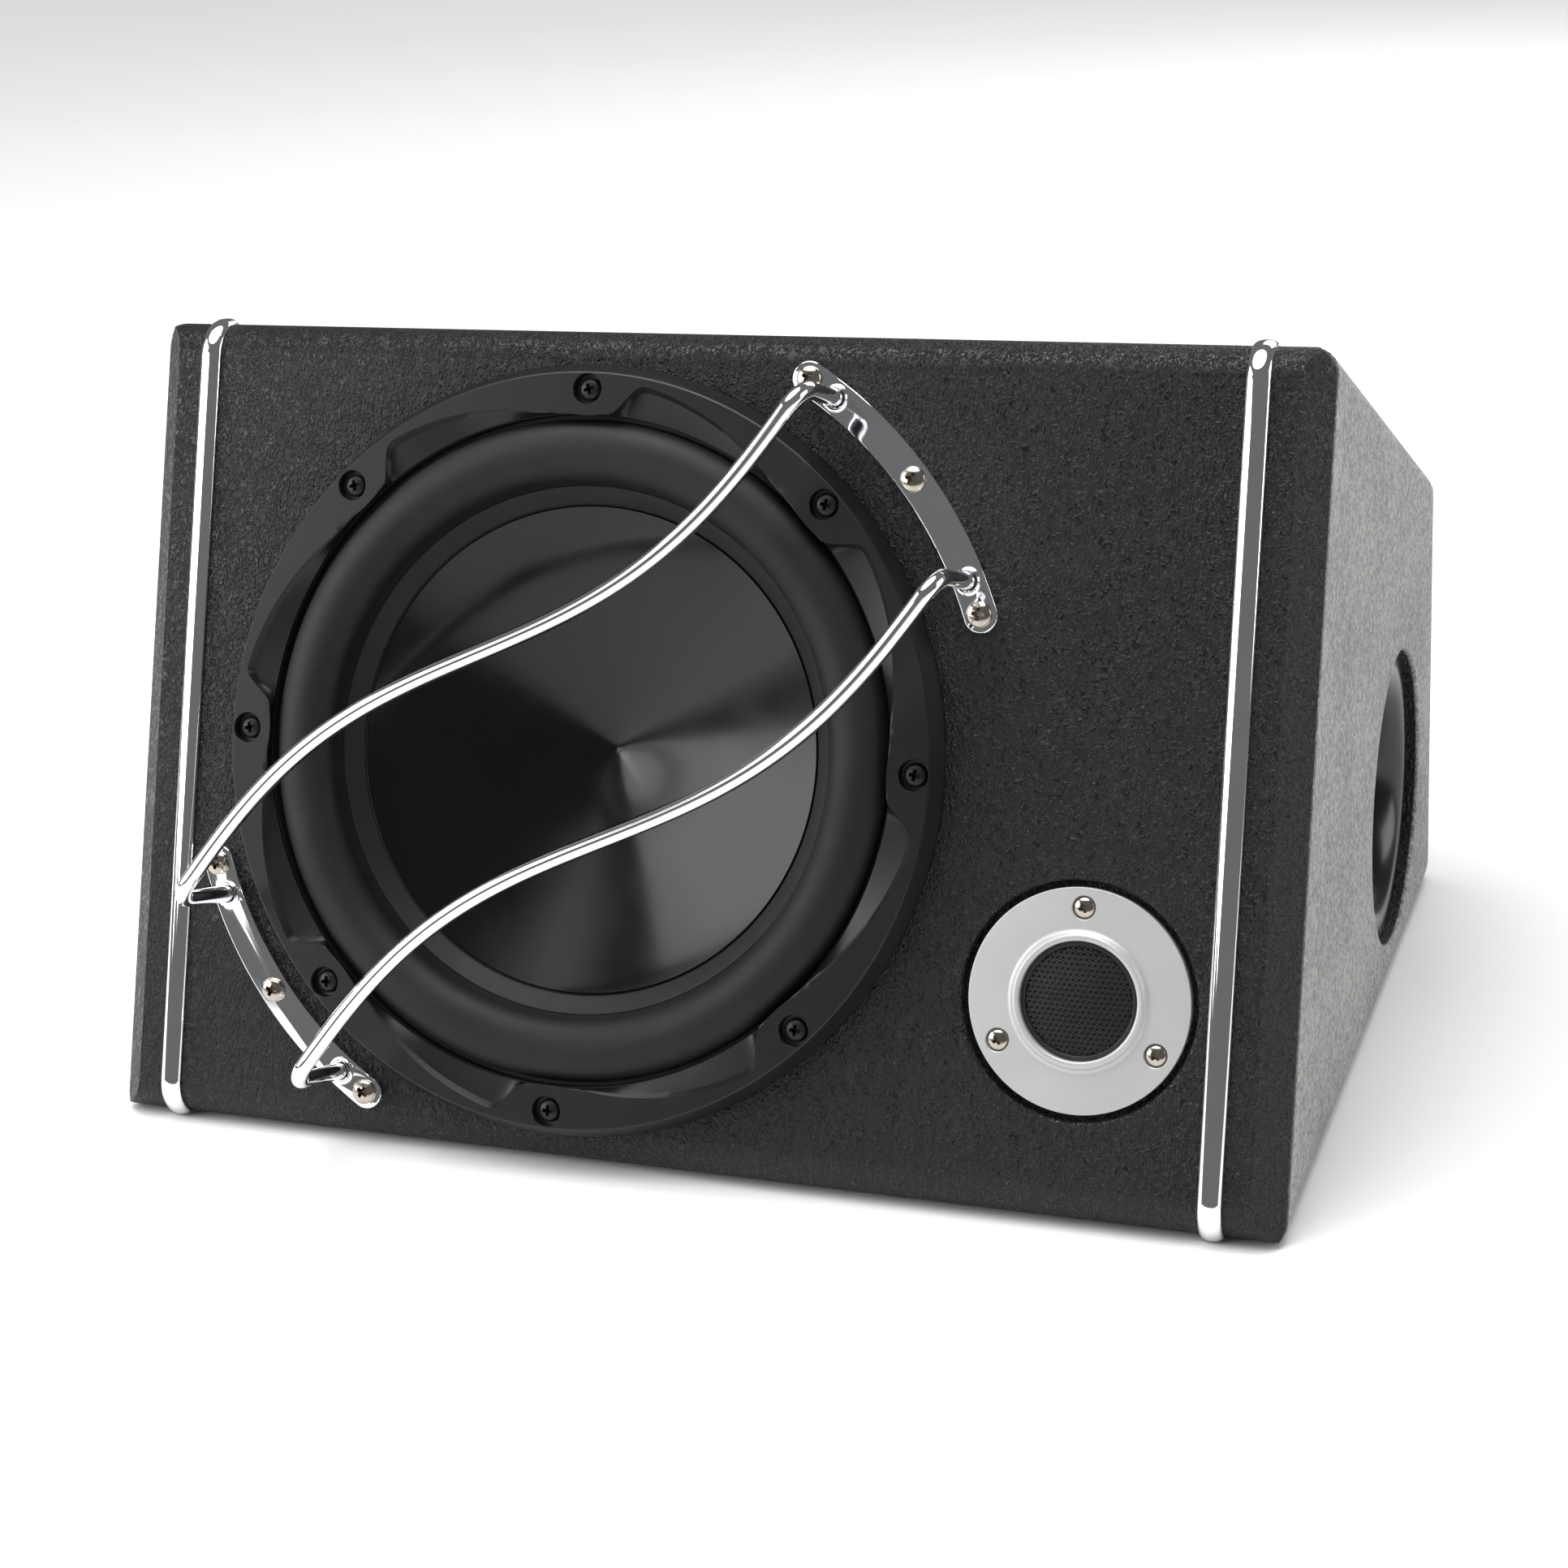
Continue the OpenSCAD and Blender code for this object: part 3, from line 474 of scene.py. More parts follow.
# Numbers in a Finish without names: roughness, metallic, mottle, patch, grain, depth, smudge, coat.
FINISHES = {
    "black_vinyl": GrainedVinyl(),
    "mdf": RawBoard(),
    "grey_carpet": Carpet(),
    "bright_chrome": CHROME,
    "foam": Finish((0.02, 0.02, 0.02), 0.9, grain=0.3, depth=0.08),
    "black_steel": Finish((0.014, 0.014, 0.015), 0.42, 0.0, 0.15, 8, 0.25, 0.02),
    "trim_plastic": Finish((0.007, 0.007, 0.0075), 0.36, 0.0, 0.1, 20, 0.14, 0.006, 0.12, shine=0.36),
    "surround_rubber": Finish((0.007, 0.007, 0.0075), 0.56, 0.0, 0.14, 16, 0.3, 0.01, 0.12, shine=0.34),
    "cone_pulp": Finish((0.03, 0.03, 0.03), 0.85, 0.0, 0.25, 5, 0.6, 0.06),
    "dish_gloss": Finish((0.0025, 0.0025, 0.003), 0.16, 0.0, 0.2, 38, 3.0, 0.004, 0.55, 0.1, shine=0.34),
    "spider_cloth": Weave((0.5, 0.34, 0.13)),
    "former_film": Finish((0.4, 0.2, 0.05), 0.25, 0.0, 0.15, 6, 0.3, 0.004),
    "copper": COPPER,
    "zinc_steel": ZINC,
    "ferrite": Finish((0.05, 0.05, 0.055), 0.7, 0.0, 0.2, 4, 0.35, 0.03),
    "terminal_brass": Finish((0.78, 0.58, 0.25), 0.24, 1.0, 0.08, 4, 0.2, 0.003, 0.3),
    "black_screw": Finish((0.016, 0.016, 0.017), 0.34, 0.35, 0.25, 1.6, 0.25, 0.008, 0.3),
    "silver_paint": Finish((0.56, 0.56, 0.56), 0.42, 0.45, 0.05, 26, 0.12, 0.0035, 0.12),
    "black_mesh": Finish((0.04, 0.04, 0.042), 0.34, 0.5, 0.2, 4, 0.2, 0.006),
    "dome_silk": Weave((0.014, 0.013, 0.012), 0.35, 0.04),
    "nickel": NICKEL,
    "film_red": Finish((0.5, 0.05, 0.03), 0.25, 0.0, 0.1, 6, 0.4, 0.004),
    "port_gloss": Finish((0.006, 0.006, 0.0065), 0.24, 0.0, 0.15, 24, 0.6, 0.003, 0.4, 0.1),
    "amp_plate": Finish((0.014, 0.014, 0.015), 0.5, 0.1, 0.15, 12, 0.35, 0.035, 0.2),
    "black_anodised": Finish((0.02, 0.02, 0.022), 0.38, 0.6, 0.12, 10, 0.3, 0.008, 0.25, brush=(1, 1, 0.05)),
    "circuit_green": Finish((0.01, 0.12, 0.04), 0.3, 0.0, 0.35, 3, 0.5, 0.02),
    "capacitor_sleeve": Finish((0.015, 0.015, 0.07), 0.28, 0.0, 0.1, 6, 0.4, 0.004),
    "black_epoxy": Finish((0.012, 0.012, 0.012), 0.5, 0.0, 0.15, 6, 0.2, 0.015),
    "knob_plastic": Finish((0.016, 0.016, 0.017), 0.42, 0.0, 0.12, 5, 0.18, 0.01),
    "lever_white": Finish((0.68, 0.68, 0.64), 0.4, 0.0, 0.04, 2, 0.2, 0.006),
    "fuse_green": Finish((0.03, 0.36, 0.08), 0.18, 0.0, 0.1, 3, 0.5, 0.003, coat=0.3),
    "wire_red": Finish((0.42, 0.02, 0.012), 0.3, 0.0, 0.08, 8, 0.6, 0.006),
}


class Paintbox:
    """Makes each slot's material once."""

    def __init__(self) -> None:
        """Starts with no material made."""
        self.made: dict[str, bpy.types.Material] = {}

    def material(self, slot: str) -> bpy.types.Material:
        """Material of one of the record's slots.

        Args:
            slot: name of the slot.

        Returns:
            Its material.
        """
        if slot not in self.made:
            self.made[slot] = FINISHES[slot].build(slot)
        return self.made[slot]

    def dress_nodes(self) -> None:
        """Gives every CAD node the finish of its slot."""
        for part in frame["record"]["subparts"]:
            node = frame["nodes"][part["node"]]
            node.data.materials.clear()
            node.data.materials.append(self.material(part["material_slot"]))


PAINT = Paintbox()


# ---------- shapes ----------


def rounded(corners: Sequence[Corner], steps: int = 4, closed: bool = True) -> list[Point]:
    """Outline whose corners are rounded.

    Args:
        corners: x, y and radius of each corner.
        steps: pieces of each rounded corner.
        closed: whether the last corner joins the first.

    Returns:
        The outline's points.
    """
    points = []
    last = len(corners) - 1
    for i, (x, y, radius) in enumerate(corners):
        here = Vector((x, y))
        ends = not closed and i in (0, last)
        if radius <= 0 or ends:
            points.append((x, y))
            continue
        before = Vector(corners[i - 1][:2]) - here
        after = Vector(corners[(i + 1) % len(corners)][:2]) - here
        reach = radius / math.tan(before.angle(after) / 2)
        start = here + before.normalized() * min(reach, before.length * 0.49)
        end = here + after.normalized() * min(reach, after.length * 0.49)
        for k in range(steps + 1):
            t = k / steps
            points.append(tuple(start * (1 - t) ** 2 + here * 2 * t * (1 - t) + end * t ** 2))
    return points


def arc(centre: Point, radius: float, start: float, end: float, steps: int) -> list[Point]:
    """Points along an arc, with its angles in degrees."""
    angles = [math.radians(start + (end - start) * k / steps) for k in range(steps + 1)]
    return [(centre[0] + radius * math.cos(a), centre[1] + radius * math.sin(a)) for a in angles]


def turned(degrees: float) -> Matrix:
    """Turn about the local z axis."""
    return Matrix.Rotation(math.radians(degrees), 4, "Z")


def shifted(x: float = 0.0, y: float = 0.0, z: float = 0.0) -> Matrix:
    """Shift in local axes."""
    return Matrix.Translation((x, y, z))


def axes(origin: Sequence[float], x: Sequence[float], y: Sequence[float], z: Sequence[float]) -> Matrix:
    """Local frame with the given origin and directions."""
    return Matrix.Translation(origin) @ Matrix((x, y, z)).transposed().to_4x4()


class Shape:
    """A mesh in millimetres, until it becomes a piece."""

    def __init__(self) -> None:
        """Starts with nothing in it."""
        self.bm = bmesh.new()

    def lathe(self, outline: Sequence[Point], steps: int = 128, closed: bool = True) -> "Shape":
        """Spins an outline of radius and height about the z axis.

        Args:
            outline: radius and height of each point.
            steps: steps of the spin.
            closed: whether the last point joins the first.

        Returns:
            This shape.
        """
        verts = [self.bm.verts.new((r, 0, z)) for r, z in outline]
        pairs = list(zip(verts, verts[1:])) + ([(verts[-1], verts[0])] if closed else [])
        edges = [self.bm.edges.new(pair) for pair in pairs]
        bmesh.ops.spin(
            self.bm, geom=verts + edges, cent=(0, 0, 0), axis=(0, 0, 1), angle=math.tau,
            steps=steps, use_merge=True,
        )
        return self.mend()

    def prism(self, outline: Sequence[Point], low: float, high: float) -> "Shape":
        """Extrudes an outline in x and y between two heights.

        Args:
            outline: the outline's points.
            low: height of the lower face.
            high: height of the upper face.

        Returns:
            This shape.
        """
        face = self.bm.faces.new([self.bm.verts.new((x, y, low)) for x, y in outline])
        made = bmesh.ops.extrude_face_region(self.bm, geom=[face])["geom"]
        tops = [v for v in made if isinstance(v, bmesh.types.BMVert)]
        bmesh.ops.translate(self.bm, vec=(0, 0, high - low), verts=tops)
        return self.mend()

    def block(self, x: float, y: float, low: float, high: float) -> "Shape":
        """Box centred on the z axis."""
        return self.prism([(-x / 2, -y / 2), (x / 2, -y / 2), (x / 2, y / 2), (-x / 2, y / 2)], low, high)

    def sweep(self, section: Sequence[Point], places: Sequence[Matrix]) -> "Shape":
        """Carries a closed section through a row of frames and closes its ends.

        Args:
            section: outline in the local x and y of each frame.
            places: frames along the way.

        Returns:
            This shape.
        """
        verts = [self.bm.verts.new(places[0] @ Vector((x, y, 0))) for x, y in section]
        ring = [self.bm.edges.new(pair) for pair in zip(verts, verts[1:] + verts[:1])]
        for before, here in zip(places, places[1:]):
            made = bmesh.ops.extrude_edge_only(self.bm, edges=ring)["geom"]
            moved = [g for g in made if isinstance(g, bmesh.types.BMVert)]
            ring = [g for g in made if isinstance(g, bmesh.types.BMEdge) and g.is_boundary]
            bmesh.ops.transform(self.bm, matrix=here @ before.inverted(), verts=moved)
        bmesh.ops.holes_fill(self.bm, edges=self.bm.edges[:], sides=0)
        return self.mend()

    def mend(self) -> "Shape":
        """Merges doubles and turns every face outwards."""
        bmesh.ops.remove_doubles(self.bm, verts=self.bm.verts[:], dist=1e-4)
        bmesh.ops.recalc_face_normals(self.bm, faces=self.bm.faces[:])
        return self

    def moved(self, matrix: Matrix) -> "Shape":
        """Moves the whole shape."""
        bmesh.ops.transform(self.bm, matrix=matrix, verts=self.bm.verts[:])
        return self

    def warped(self, rule: Callable[[Vector], Vector]) -> "Shape":
        """Moves each point to where a rule puts it."""
        for vert in self.bm.verts:
            vert.co = rule(vert.co)
        return self

    def copy(self) -> "Shape":
        """A second shape with the same mesh."""
        twin = Shape()
        twin.bm = self.bm.copy()
        return twin

    def join(self, *others: "Shape") -> "Shape":
        """Takes other shapes in beside this one."""
        for other in others:
            mesh = bpy.data.meshes.new("joined")
            other.bm.to_mesh(mesh)
            self.bm.from_mesh(mesh)
            bpy.data.meshes.remove(mesh)
        return self

    def repeated(self, places: Iterable[Matrix]) -> "Shape":
        """Copies of this shape at each place, as one shape."""
        return Shape().join(*[self.copy().moved(place) for place in places])

    def clipped(self, point: Sequence[float], normal: Sequence[float]) -> "Shape":
        """Cuts away what lies beyond a plane and closes the cut."""
        geometry = self.bm.verts[:] + self.bm.edges[:] + self.bm.faces[:]
        bmesh.ops.bisect_plane(self.bm, geom=geometry, plane_co=point, plane_no=normal, clear_outer=True)
        rim = [e for e in self.bm.edges if e.is_boundary]
        if rim:
            bmesh.ops.holes_fill(self.bm, edges=rim, sides=0)
        return self.mend()

    def bevelled(self, offset: float, segments: int, chosen: Callable[[bmesh.types.BMEdge], bool]) -> "Shape":
        """Rounds the chosen edges.

        Args:
            offset: width of the bevel along each face.
            segments: pieces of the bevel.
            chosen: says whether an edge is bevelled.

        Returns:
            This shape.
        """
        bmesh.ops.bevel(
            self.bm, geom=[e for e in self.bm.edges if chosen(e)], offset=offset, offset_type="OFFSET",
            segments=segments, profile=0.5, affect="EDGES", clamp_overlap=True, material=-1,
        )
        return self.mend()

    def softened(self, offset: float, segments: int = 2, angle: float = 35) -> "Shape":
        """Rounds every edge that is sharper than an angle in degrees."""
        limit = math.radians(angle)

        def is_sharp(edge: bmesh.types.BMEdge) -> bool:
            """Whether two faces meet at more than the angle."""
            return len(edge.link_faces) == 2 and edge.calc_face_angle() > limit

        return self.bevelled(offset, segments, is_sharp)

    def _boolean(self, operation: str, other: "Shape") -> None:
        """Runs one exact boolean with another shape."""
        pair = [_loose(shape, "boolean") for shape in (self, other)]
        modifier = pair[0].modifiers.new("boolean", "BOOLEAN")
        modifier.operation, modifier.solver, modifier.object = operation, "EXACT", pair[1]
        mesh = bpy.data.meshes.new_from_object(pair[0].evaluated_get(bpy.context.evaluated_depsgraph_get()))
        if len(mesh.polygons) < len(self.bm.faces) / 2:
            raise RuntimeError("a cut lost most of a shape")
        self.bm.clear()
        self.bm.from_mesh(mesh)
        bpy.data.meshes.remove(mesh)
        for each in pair:
            bpy.data.meshes.remove(each.data)

    def cut(self, *tools: "Shape") -> "Shape":
        """Takes closed shapes out of this one."""
        for tool in tools:
            self._boolean("DIFFERENCE", tool)
        return self

    def piece(
        self,
        name: str,
        slot: str,
        place: Matrix,
        replaces: Sequence[str] = (),
        crease: float = 35,
        body: Body | None = Body.CABINET,
    ) -> bpy.types.Object:
        """Turns the shape into a finished piece.

        Args:
            name: name of the piece.
            slot: material slot of the record.
            place: frame of the shape, in row millimetres.
            replaces: CAD nodes that it stands for.
            crease: angle in degrees past which an edge stays sharp.
            body: body that it rides on, or None if it is blended later.

        Returns:
            The new object.
        """
        self.moved(Matrix.Scale(MM, 4) @ place)
        limit = math.radians(crease)
        for face in self.bm.faces:
            face.smooth = True
            face.material_index = min(face.material_index, 1)
        for edge in self.bm.edges:
            edge.smooth = len(edge.link_faces) == 2 and edge.calc_face_angle() < limit
        made = _loose(self, name)
        made.data.materials.clear()
        made.data.materials.append(PAINT.material(slot))
        # Faces with index 1 are screw recesses; the black screw finish there is painted shade.
        if any(face.material_index for face in made.data.polygons):
            made.data.materials.append(PAINT.material("black_screw"))
        if body:
            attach(made, body.value)
        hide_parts(*replaces)
        low, high = self._box(made)
        for node in replaces[:1]:
            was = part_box(node)
            gap = max(abs(a - b) for u, v in zip((low, high), was) for a, b in zip(u, v)) / MM
            LOG.info("%s: %d faces, ends within %.1f mm of %s", name, len(made.data.polygons), gap, node)
        return made

    @staticmethod
    def _box(made: bpy.types.Object) -> tuple[Vector, Vector]:
        """Lowest and highest corner of an object's mesh."""
        points = [v.co for v in made.data.vertices]
        return tuple(Vector(pick(p[k] for p in points) for k in range(3)) for pick in (min, max))


def placed(name: str, data: bpy.types.ID) -> bpy.types.Object:
    """New object in the scene that holds a mesh, a light or a camera."""
    made = bpy.data.objects.new(name, data)
    bpy.context.scene.collection.objects.link(made)
    return made


def _loose(shape: Shape, name: str) -> bpy.types.Object:
    """Object in the scene that holds a shape's mesh."""
    mesh = bpy.data.meshes.new(name)
    shape.bm.to_mesh(mesh)
    return placed(name, mesh)


def ring_section(outer: float, inner: float, low: float, high: float, soft: float = 0.0) -> list[Point]:
    """Outline of a ring with softened corners, for a lathe."""
    corners = [(outer, low), (outer, high), (inner, high), (inner, low)]
    return rounded([(r, z, soft) for r, z in corners], 3)


def post(radius: float, low: float, high: float, steps: int = 32) -> Shape:
    """Plain solid round on the z axis."""
    return Shape().lathe([(0, low), (radius, low), (radius, high), (0, high)], steps, closed=False)


def round_of(radius: float, count: int, first: float = 0.0) -> list[Matrix]:
    """Places evenly round the z axis, each turned to face outwards."""
    return [turned(first + 360 * k / count) @ shifted(radius) for k in range(count)]


def rounded_box(width: float, height: float, radius: float, steps: int = 6) -> list[Point]:
    """Rectangle with round corners, centred."""
    w, h = width / 2, height / 2
    return rounded([(w, h, radius), (-w, h, radius), (-w, -h, radius), (w, -h, radius)], steps)


def phillips_screw(radius: float, height: float, shank: float, length: float) -> Shape:
    """Pan-head screw with a tapered cross recess; the head stands on z = 0.

    Args:
        radius: radius of the head.
        height: height of the head.
        shank: radius of the shank.
        length: length of the shank.

    Returns:
        The screw.
    """
    crown = [(radius * math.sin(a), height * (0.42 + 0.58 * math.cos(a))) for a in
             (math.radians(10 * k) for k in range(9))]
    outline = crown + [(radius, height * 0.4), (radius, 0.12), (radius - 0.12, 0)]
    outline += [(shank, 0), (shank, -length), (0, -length)]
    head = Shape().lathe(outline, 32, closed=False)
    wing, wide, foot = radius * 0.6, radius * 0.17, -height * 0.4
    blade = Shape().prism([(-wing, -wide), (wing, -wide), (wing, wide), (-wing, wide)], foot, height * 1.4)

    def taper(point: Vector) -> Vector:
        """Draws the foot of the blade in."""
        share = 0.45 if point.z < height else 1.0
        return Vector((point.x * share, point.y * (0.7 if point.z < height else 1.0), point.z))

    blade.warped(taper)
    cup = [(0, foot), (radius * 0.22, foot), (radius * 0.28, height * 1.4), (0, height * 1.4)]
    pit = Shape().lathe(cup, 12, closed=False)
    head.cut(blade, blade.copy().moved(turned(90)), pit)
    # Faces of the cross recess take material index 1, a black finish that is painted shade in the recess.
    for face in head.bm.faces:
        centre = face.calc_center_median()
        in_walls = centre.z > foot - 0.01 and face.normal.z < 0.75
        on_foot = abs(centre.z - foot) < 0.01
        face.material_index = int(centre.xy.length < wing and (in_walls or on_foot))
    return head


# ---------- places ----------


def middle(node: str) -> Vector:
    """Centre of a CAD node's box, in row millimetres."""
    low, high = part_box(node)
    return (low + high) / 2 / MM


class Layout:
    """Local frames of the object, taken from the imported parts."""

    GASKET_MIDDLE = 0.75
    FACEPLATE_MIDDLE = -2.6

    def __init__(self) -> None:
        """Reads the frame's boxes and the cone's axis."""
        travel = next(j for j in frame["joints"] if j["name"] == "cone_travel")
        self.out = Vector(travel["axis"]).normalized()
        self.across = Vector((1, 0, 0))
        self.up = self.out.cross(self.across)
        self.half_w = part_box("right_carpet")[1].x / MM
        self.rear_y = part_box("rear_carpet")[1].y / MM
        self.woofer = self._facing(middle("woofer_gasket") - self.GASKET_MIDDLE * self.out)
        self.tweeter = self._facing(middle("tweeter_faceplate") - self.FACEPLATE_MIDDLE * self.out)
        port = middle("port_flare")
        self.port = axes((self.half_w, port.y, port.z), (0, 1, 0), (0, 0, 1), (1, 0, 0))
        panel = middle("amp_panel")
        self.rear = axes((panel.x, self.rear_y, panel.z), (-1, 0, 0), (0, 0, 1), (0, 1, 0))

    def _facing(self, origin: Vector) -> Matrix:
        """Frame on the baffle, with z towards the listener."""
        return axes(origin, self.across, self.up, self.out)

    def guard(self, offset: Point, turn: float) -> Matrix:
        """Frame of the guard, shifted and turned from the woofer's."""
        return self.woofer @ shifted(*offset) @ turned(turn)


LAYOUT = Layout()
ROW = Matrix.Identity(4)


# ---------- cabinet ----------


@dataclass(frozen=True)
class Wedge:
    """Side outline of the cabinet, in row y and z.

    Its corners are the front foot, rear foot, rear top and front top.
    """

    base_length: float = 2 * LAYOUT.rear_y
    rear_h: float = 169.0
    front_h: float = 292.0

    def corners(self) -> list[Vector]:
        """The four sharp corners."""
        lean = LAYOUT.up * self.front_h
        half = self.base_length / 2
        return [Vector(c) for c in ((-half, 0), (half, 0), (half, self.rear_h), (lean.y - half, lean.z))]

    def normal(self, i: int) -> Vector:
        """Outward normal of the edge that starts at corner i."""
        corners = self.corners()
        run = (corners[(i + 1) % 4] - corners[i % 4]).normalized()
        return Vector((run.y, -run.x))

    def corner(self, i: int, before: float, after: float) -> Vector:
        """Corner i with the edge before it and the edge after it moved in."""
        m, n = -self.normal(i + 3), -self.normal(i)
        wide = m.x * n.y - m.y * n.x
        return self.corners()[i % 4] + Vector((before * n.y - after * m.y, after * m.x - before * n.x)) / wide

    def turn(self, i: int, radius: float, before: float = 0.0, after: float = 0.0) -> list[Point]:
        """Arc round corner i, whose edges are moved in by before and after.

        Args:
            i: number of the corner.
            radius: radius of the arc.
            before: inset of the edge before the corner.
            after: inset of the edge after it.

        Returns:
            Points from the normal before the corner to the one after it.
        """
        centre = self.corner(i, before + radius, after + radius)
        start, end = (math.degrees(math.atan2(n.y, n.x)) for n in (self.normal(i + 3), self.normal(i)))
        return arc(tuple(centre), radius, start, start + (end - start) % 360, 8)

    def outline(self, insets: Sequence[float], radii: Sequence[float]) -> list[Point]:
        """Outline with insets of base, rear, top and front, and corner radii."""
        points = []
        for i, radius in enumerate(radii):
            before, after = insets[(i + 3) % 4], insets[i]
            if radius <= 0:
                points.append(tuple(self.corner(i, before, after)))
            else:
                points += self.turn(i, radius, before, after)
        return points


def slab(outline: Sequence[Point], x0: float, x1: float) -> Shape:
    """Side outline extruded across the cabinet between two x places."""
    return Shape().prism(outline, x0, x1).moved(axes((0, 0, 0), (0, 1, 0), (0, 0, 1), (1, 0, 0)))


@dataclass
class Cabinet:
    """Grained baffle, carpeted body and the two chrome strips."""

    wedge: Wedge = field(default_factory=Wedge)
    black_edge: float = 13.2
    side_chamfer: float = 10.0
    front_round: float = 12.0
    corner_round: float = 12.0
    edge_soft: float = 8.0
    rear_round: float = 10.0
    carpet_t: float = 2.0
    woofer_hole: float = 117.5
    tweeter_recess_r: float = 39.1
    tweeter_recess: float = 4.2
    tweeter_hole: float = 25.0
    port_hole: float = 55.9
    amp_hole: Point = (210.0, 106.0)
    strip_inner: float = 185.1
    strip_w: float = 8.1
    strip_rise: float = 2.2

    def build(self) -> None:
        """Builds every piece of the cabinet."""
        self.baffle()
        self.carpet()
        for side in (-1, 1):
            self.strip(side)

    def _front(self, x: float, up: float, depth: float) -> Vector:
        """Point on the baffle: across, up the slope from its middle, and into the box."""
        foot = Vector((0, *self.wedge.corners()[0]))
        return foot + LAYOUT.across * x + LAYOUT.up * (self.wedge.front_h / 2 + up) - LAYOUT.out * depth

    def baffle(self) -> None:
        """Front baffle with rounded, chamfered edges and softened holes."""
        half, tall = LAYOUT.half_w, self.wedge.front_h / 2
        rear = self.wedge.base_length / 2
        outline = self.wedge.outline([0, rear, 0, 0], [self.front_round, 0, 0, self.front_round])
        face = slab(outline, -half, half).clipped(self._front(0, 0, self.black_edge), -LAYOUT.out)
        for side in (-1, 1):
            slope = (LAYOUT.across * side + LAYOUT.out).normalized()
            face.clipped(self._front(side * (half - self.side_chamfer), 0, 0), slope)
            for top in (-1, 1):
                for k in range(6):
                    a = math.radians(7.5 + 15 * k)
                    way = LAYOUT.across * side * math.cos(a) + LAYOUT.up * top * math.sin(a)
                    x, y = side * (half - self.corner_round), top * (tall - self.corner_round)
                    face.clipped(self._front(x, y, 0) + way * self.corner_round, way)
        face.bevelled(2.4, 3, self._is_fold)
        hole = post(self.woofer_hole, -2 * self.black_edge, 5, 128)
        face.cut(hole.moved(LAYOUT.woofer), self._tweeter_cutter().moved(LAYOUT.tweeter))
        face.piece("grained_baffle", "black_vinyl", ROW, ["front_baffle"], 32)

    def _is_fold(self, edge: bmesh.types.BMEdge) -> bool:
        """Whether an edge is a long fold between the face, a chamfer and a side."""
        if len(edge.link_faces) != 2 or not 0.45 < edge.calc_face_angle() < 1.2:
            return False
        run = edge.verts[1].co - edge.verts[0].co
        return run.length > 100 and abs(run.normalized().dot(LAYOUT.up)) > 0.99

    def _tweeter_cutter(self) -> Shape:
        """Stepped hole for the tweeter, with a worn, softened mouth."""
        lip = 1.6
        outline = [
            (0, -2 * self.black_edge), (self.tweeter_hole, -2 * self.black_edge),
            (self.tweeter_hole, -self.tweeter_recess), (self.tweeter_recess_r, -self.tweeter_recess),
        ]
        mouth = arc((self.tweeter_recess_r + lip, -lip), lip, 180, 90, 5)
        outline += mouth + [(self.tweeter_recess_r + lip, 5), (0, 5)]
        return Shape().lathe(outline, 96, closed=False)

    def carpet(self) -> None:
        """Carpet over the body, a thin shell with soft long edges."""
        half, skin = LAYOUT.half_w, self.carpet_t
        outline = self.wedge.outline([0, 0, 0, -20], [0, self.rear_round, self.rear_round, 0])
        outer = slab(outline, -half, half)
        outer.bevelled(self.edge_soft, 5, self._is_side_edge(half))
        outer.clipped(self._front(0, 0, self.black_edge), LAYOUT.out)
        inner_round = self.rear_round - skin
        outline = self.wedge.outline([skin, skin, skin, -40], [0, inner_round, inner_round, 0])
        inner = slab(outline, skin - half, half - skin)
        inner.bevelled(self.edge_soft - skin, 3, self._is_side_edge(half - skin))
        lip = 1.2
        mouth = [(0, -20), (self.port_hole, -20)] + arc((self.port_hole + lip, -lip), lip, 180, 90, 4)
        mouth += [(self.port_hole + lip, 5), (0, 5)]
        port = Shape().lathe(mouth, 96, closed=False).moved(LAYOUT.port)
        amp = Shape().block(*self.amp_hole, -20, 10).moved(LAYOUT.rear)
        outer.cut(inner, port, amp)
        nodes = ["right_carpet", "left_carpet", "rear_carpet", "top_carpet", "base_carpet"]
        outer.piece("carpet_wrap", "grey_carpet", ROW, nodes, 32)

    @staticmethod
    def _is_side_edge(x: float) -> Callable[[bmesh.types.BMEdge], bool]:
        """Test for the edges round a side face at plus or minus x."""
        return lambda edge: all(abs(abs(v.co.x) - x) < 0.01 for v in edge.verts) and (
            edge.verts[0].co.x * edge.verts[1].co.x > 0
        )

    def strip(self, side: int) -> None:
        """One chrome strip, from under the foot to over the top.

        Args:
            side: -1 for the left and 1 for the right.
        """
        wedge, rise, half = self.wedge, self.strip_rise, self.strip_w / 2
        lowest = math.acos((self.front_round - 0.3) / (self.front_round + rise))
        centre = wedge.corner(0, self.front_round, self.front_round)
        front = wedge.normal(3)
        aim = math.degrees(math.atan2(front.y, front.x)) % 360
        foot = arc(tuple(centre), self.front_round, 270 - math.degrees(lowest), aim, 12)
        top = wedge.turn(3, self.front_round)[::-1]
        back = wedge.corner(3, self.black_edge, 0)
        path = foot + top + [tuple(back)]
        dome = (math.radians(9 * k) for k in range(21))
        section = [(-half * math.cos(a), rise * math.sin(a)) for a in dome]
        x = side * (self.strip_inner + half)
        places = []
        for i, here in enumerate(path):
            ahead = Vector(path[min(i + 1, len(path) - 1)]) - Vector(path[max(i - 1, 0)])
            way = Vector((0, *ahead.normalized()))
            out = LAYOUT.across.cross(way)
            places.append(axes((x, *here), LAYOUT.across, out, LAYOUT.across.cross(out)))
        name = "right_chrome_strip" if side > 0 else "left_chrome_strip"
        Shape().sweep(section, places).softened(0.25, 2, 50).piece(
            name.replace("chrome_", "bright_"), "bright_chrome", ROW, [name], 40
        )


# ---------- woofer ----------


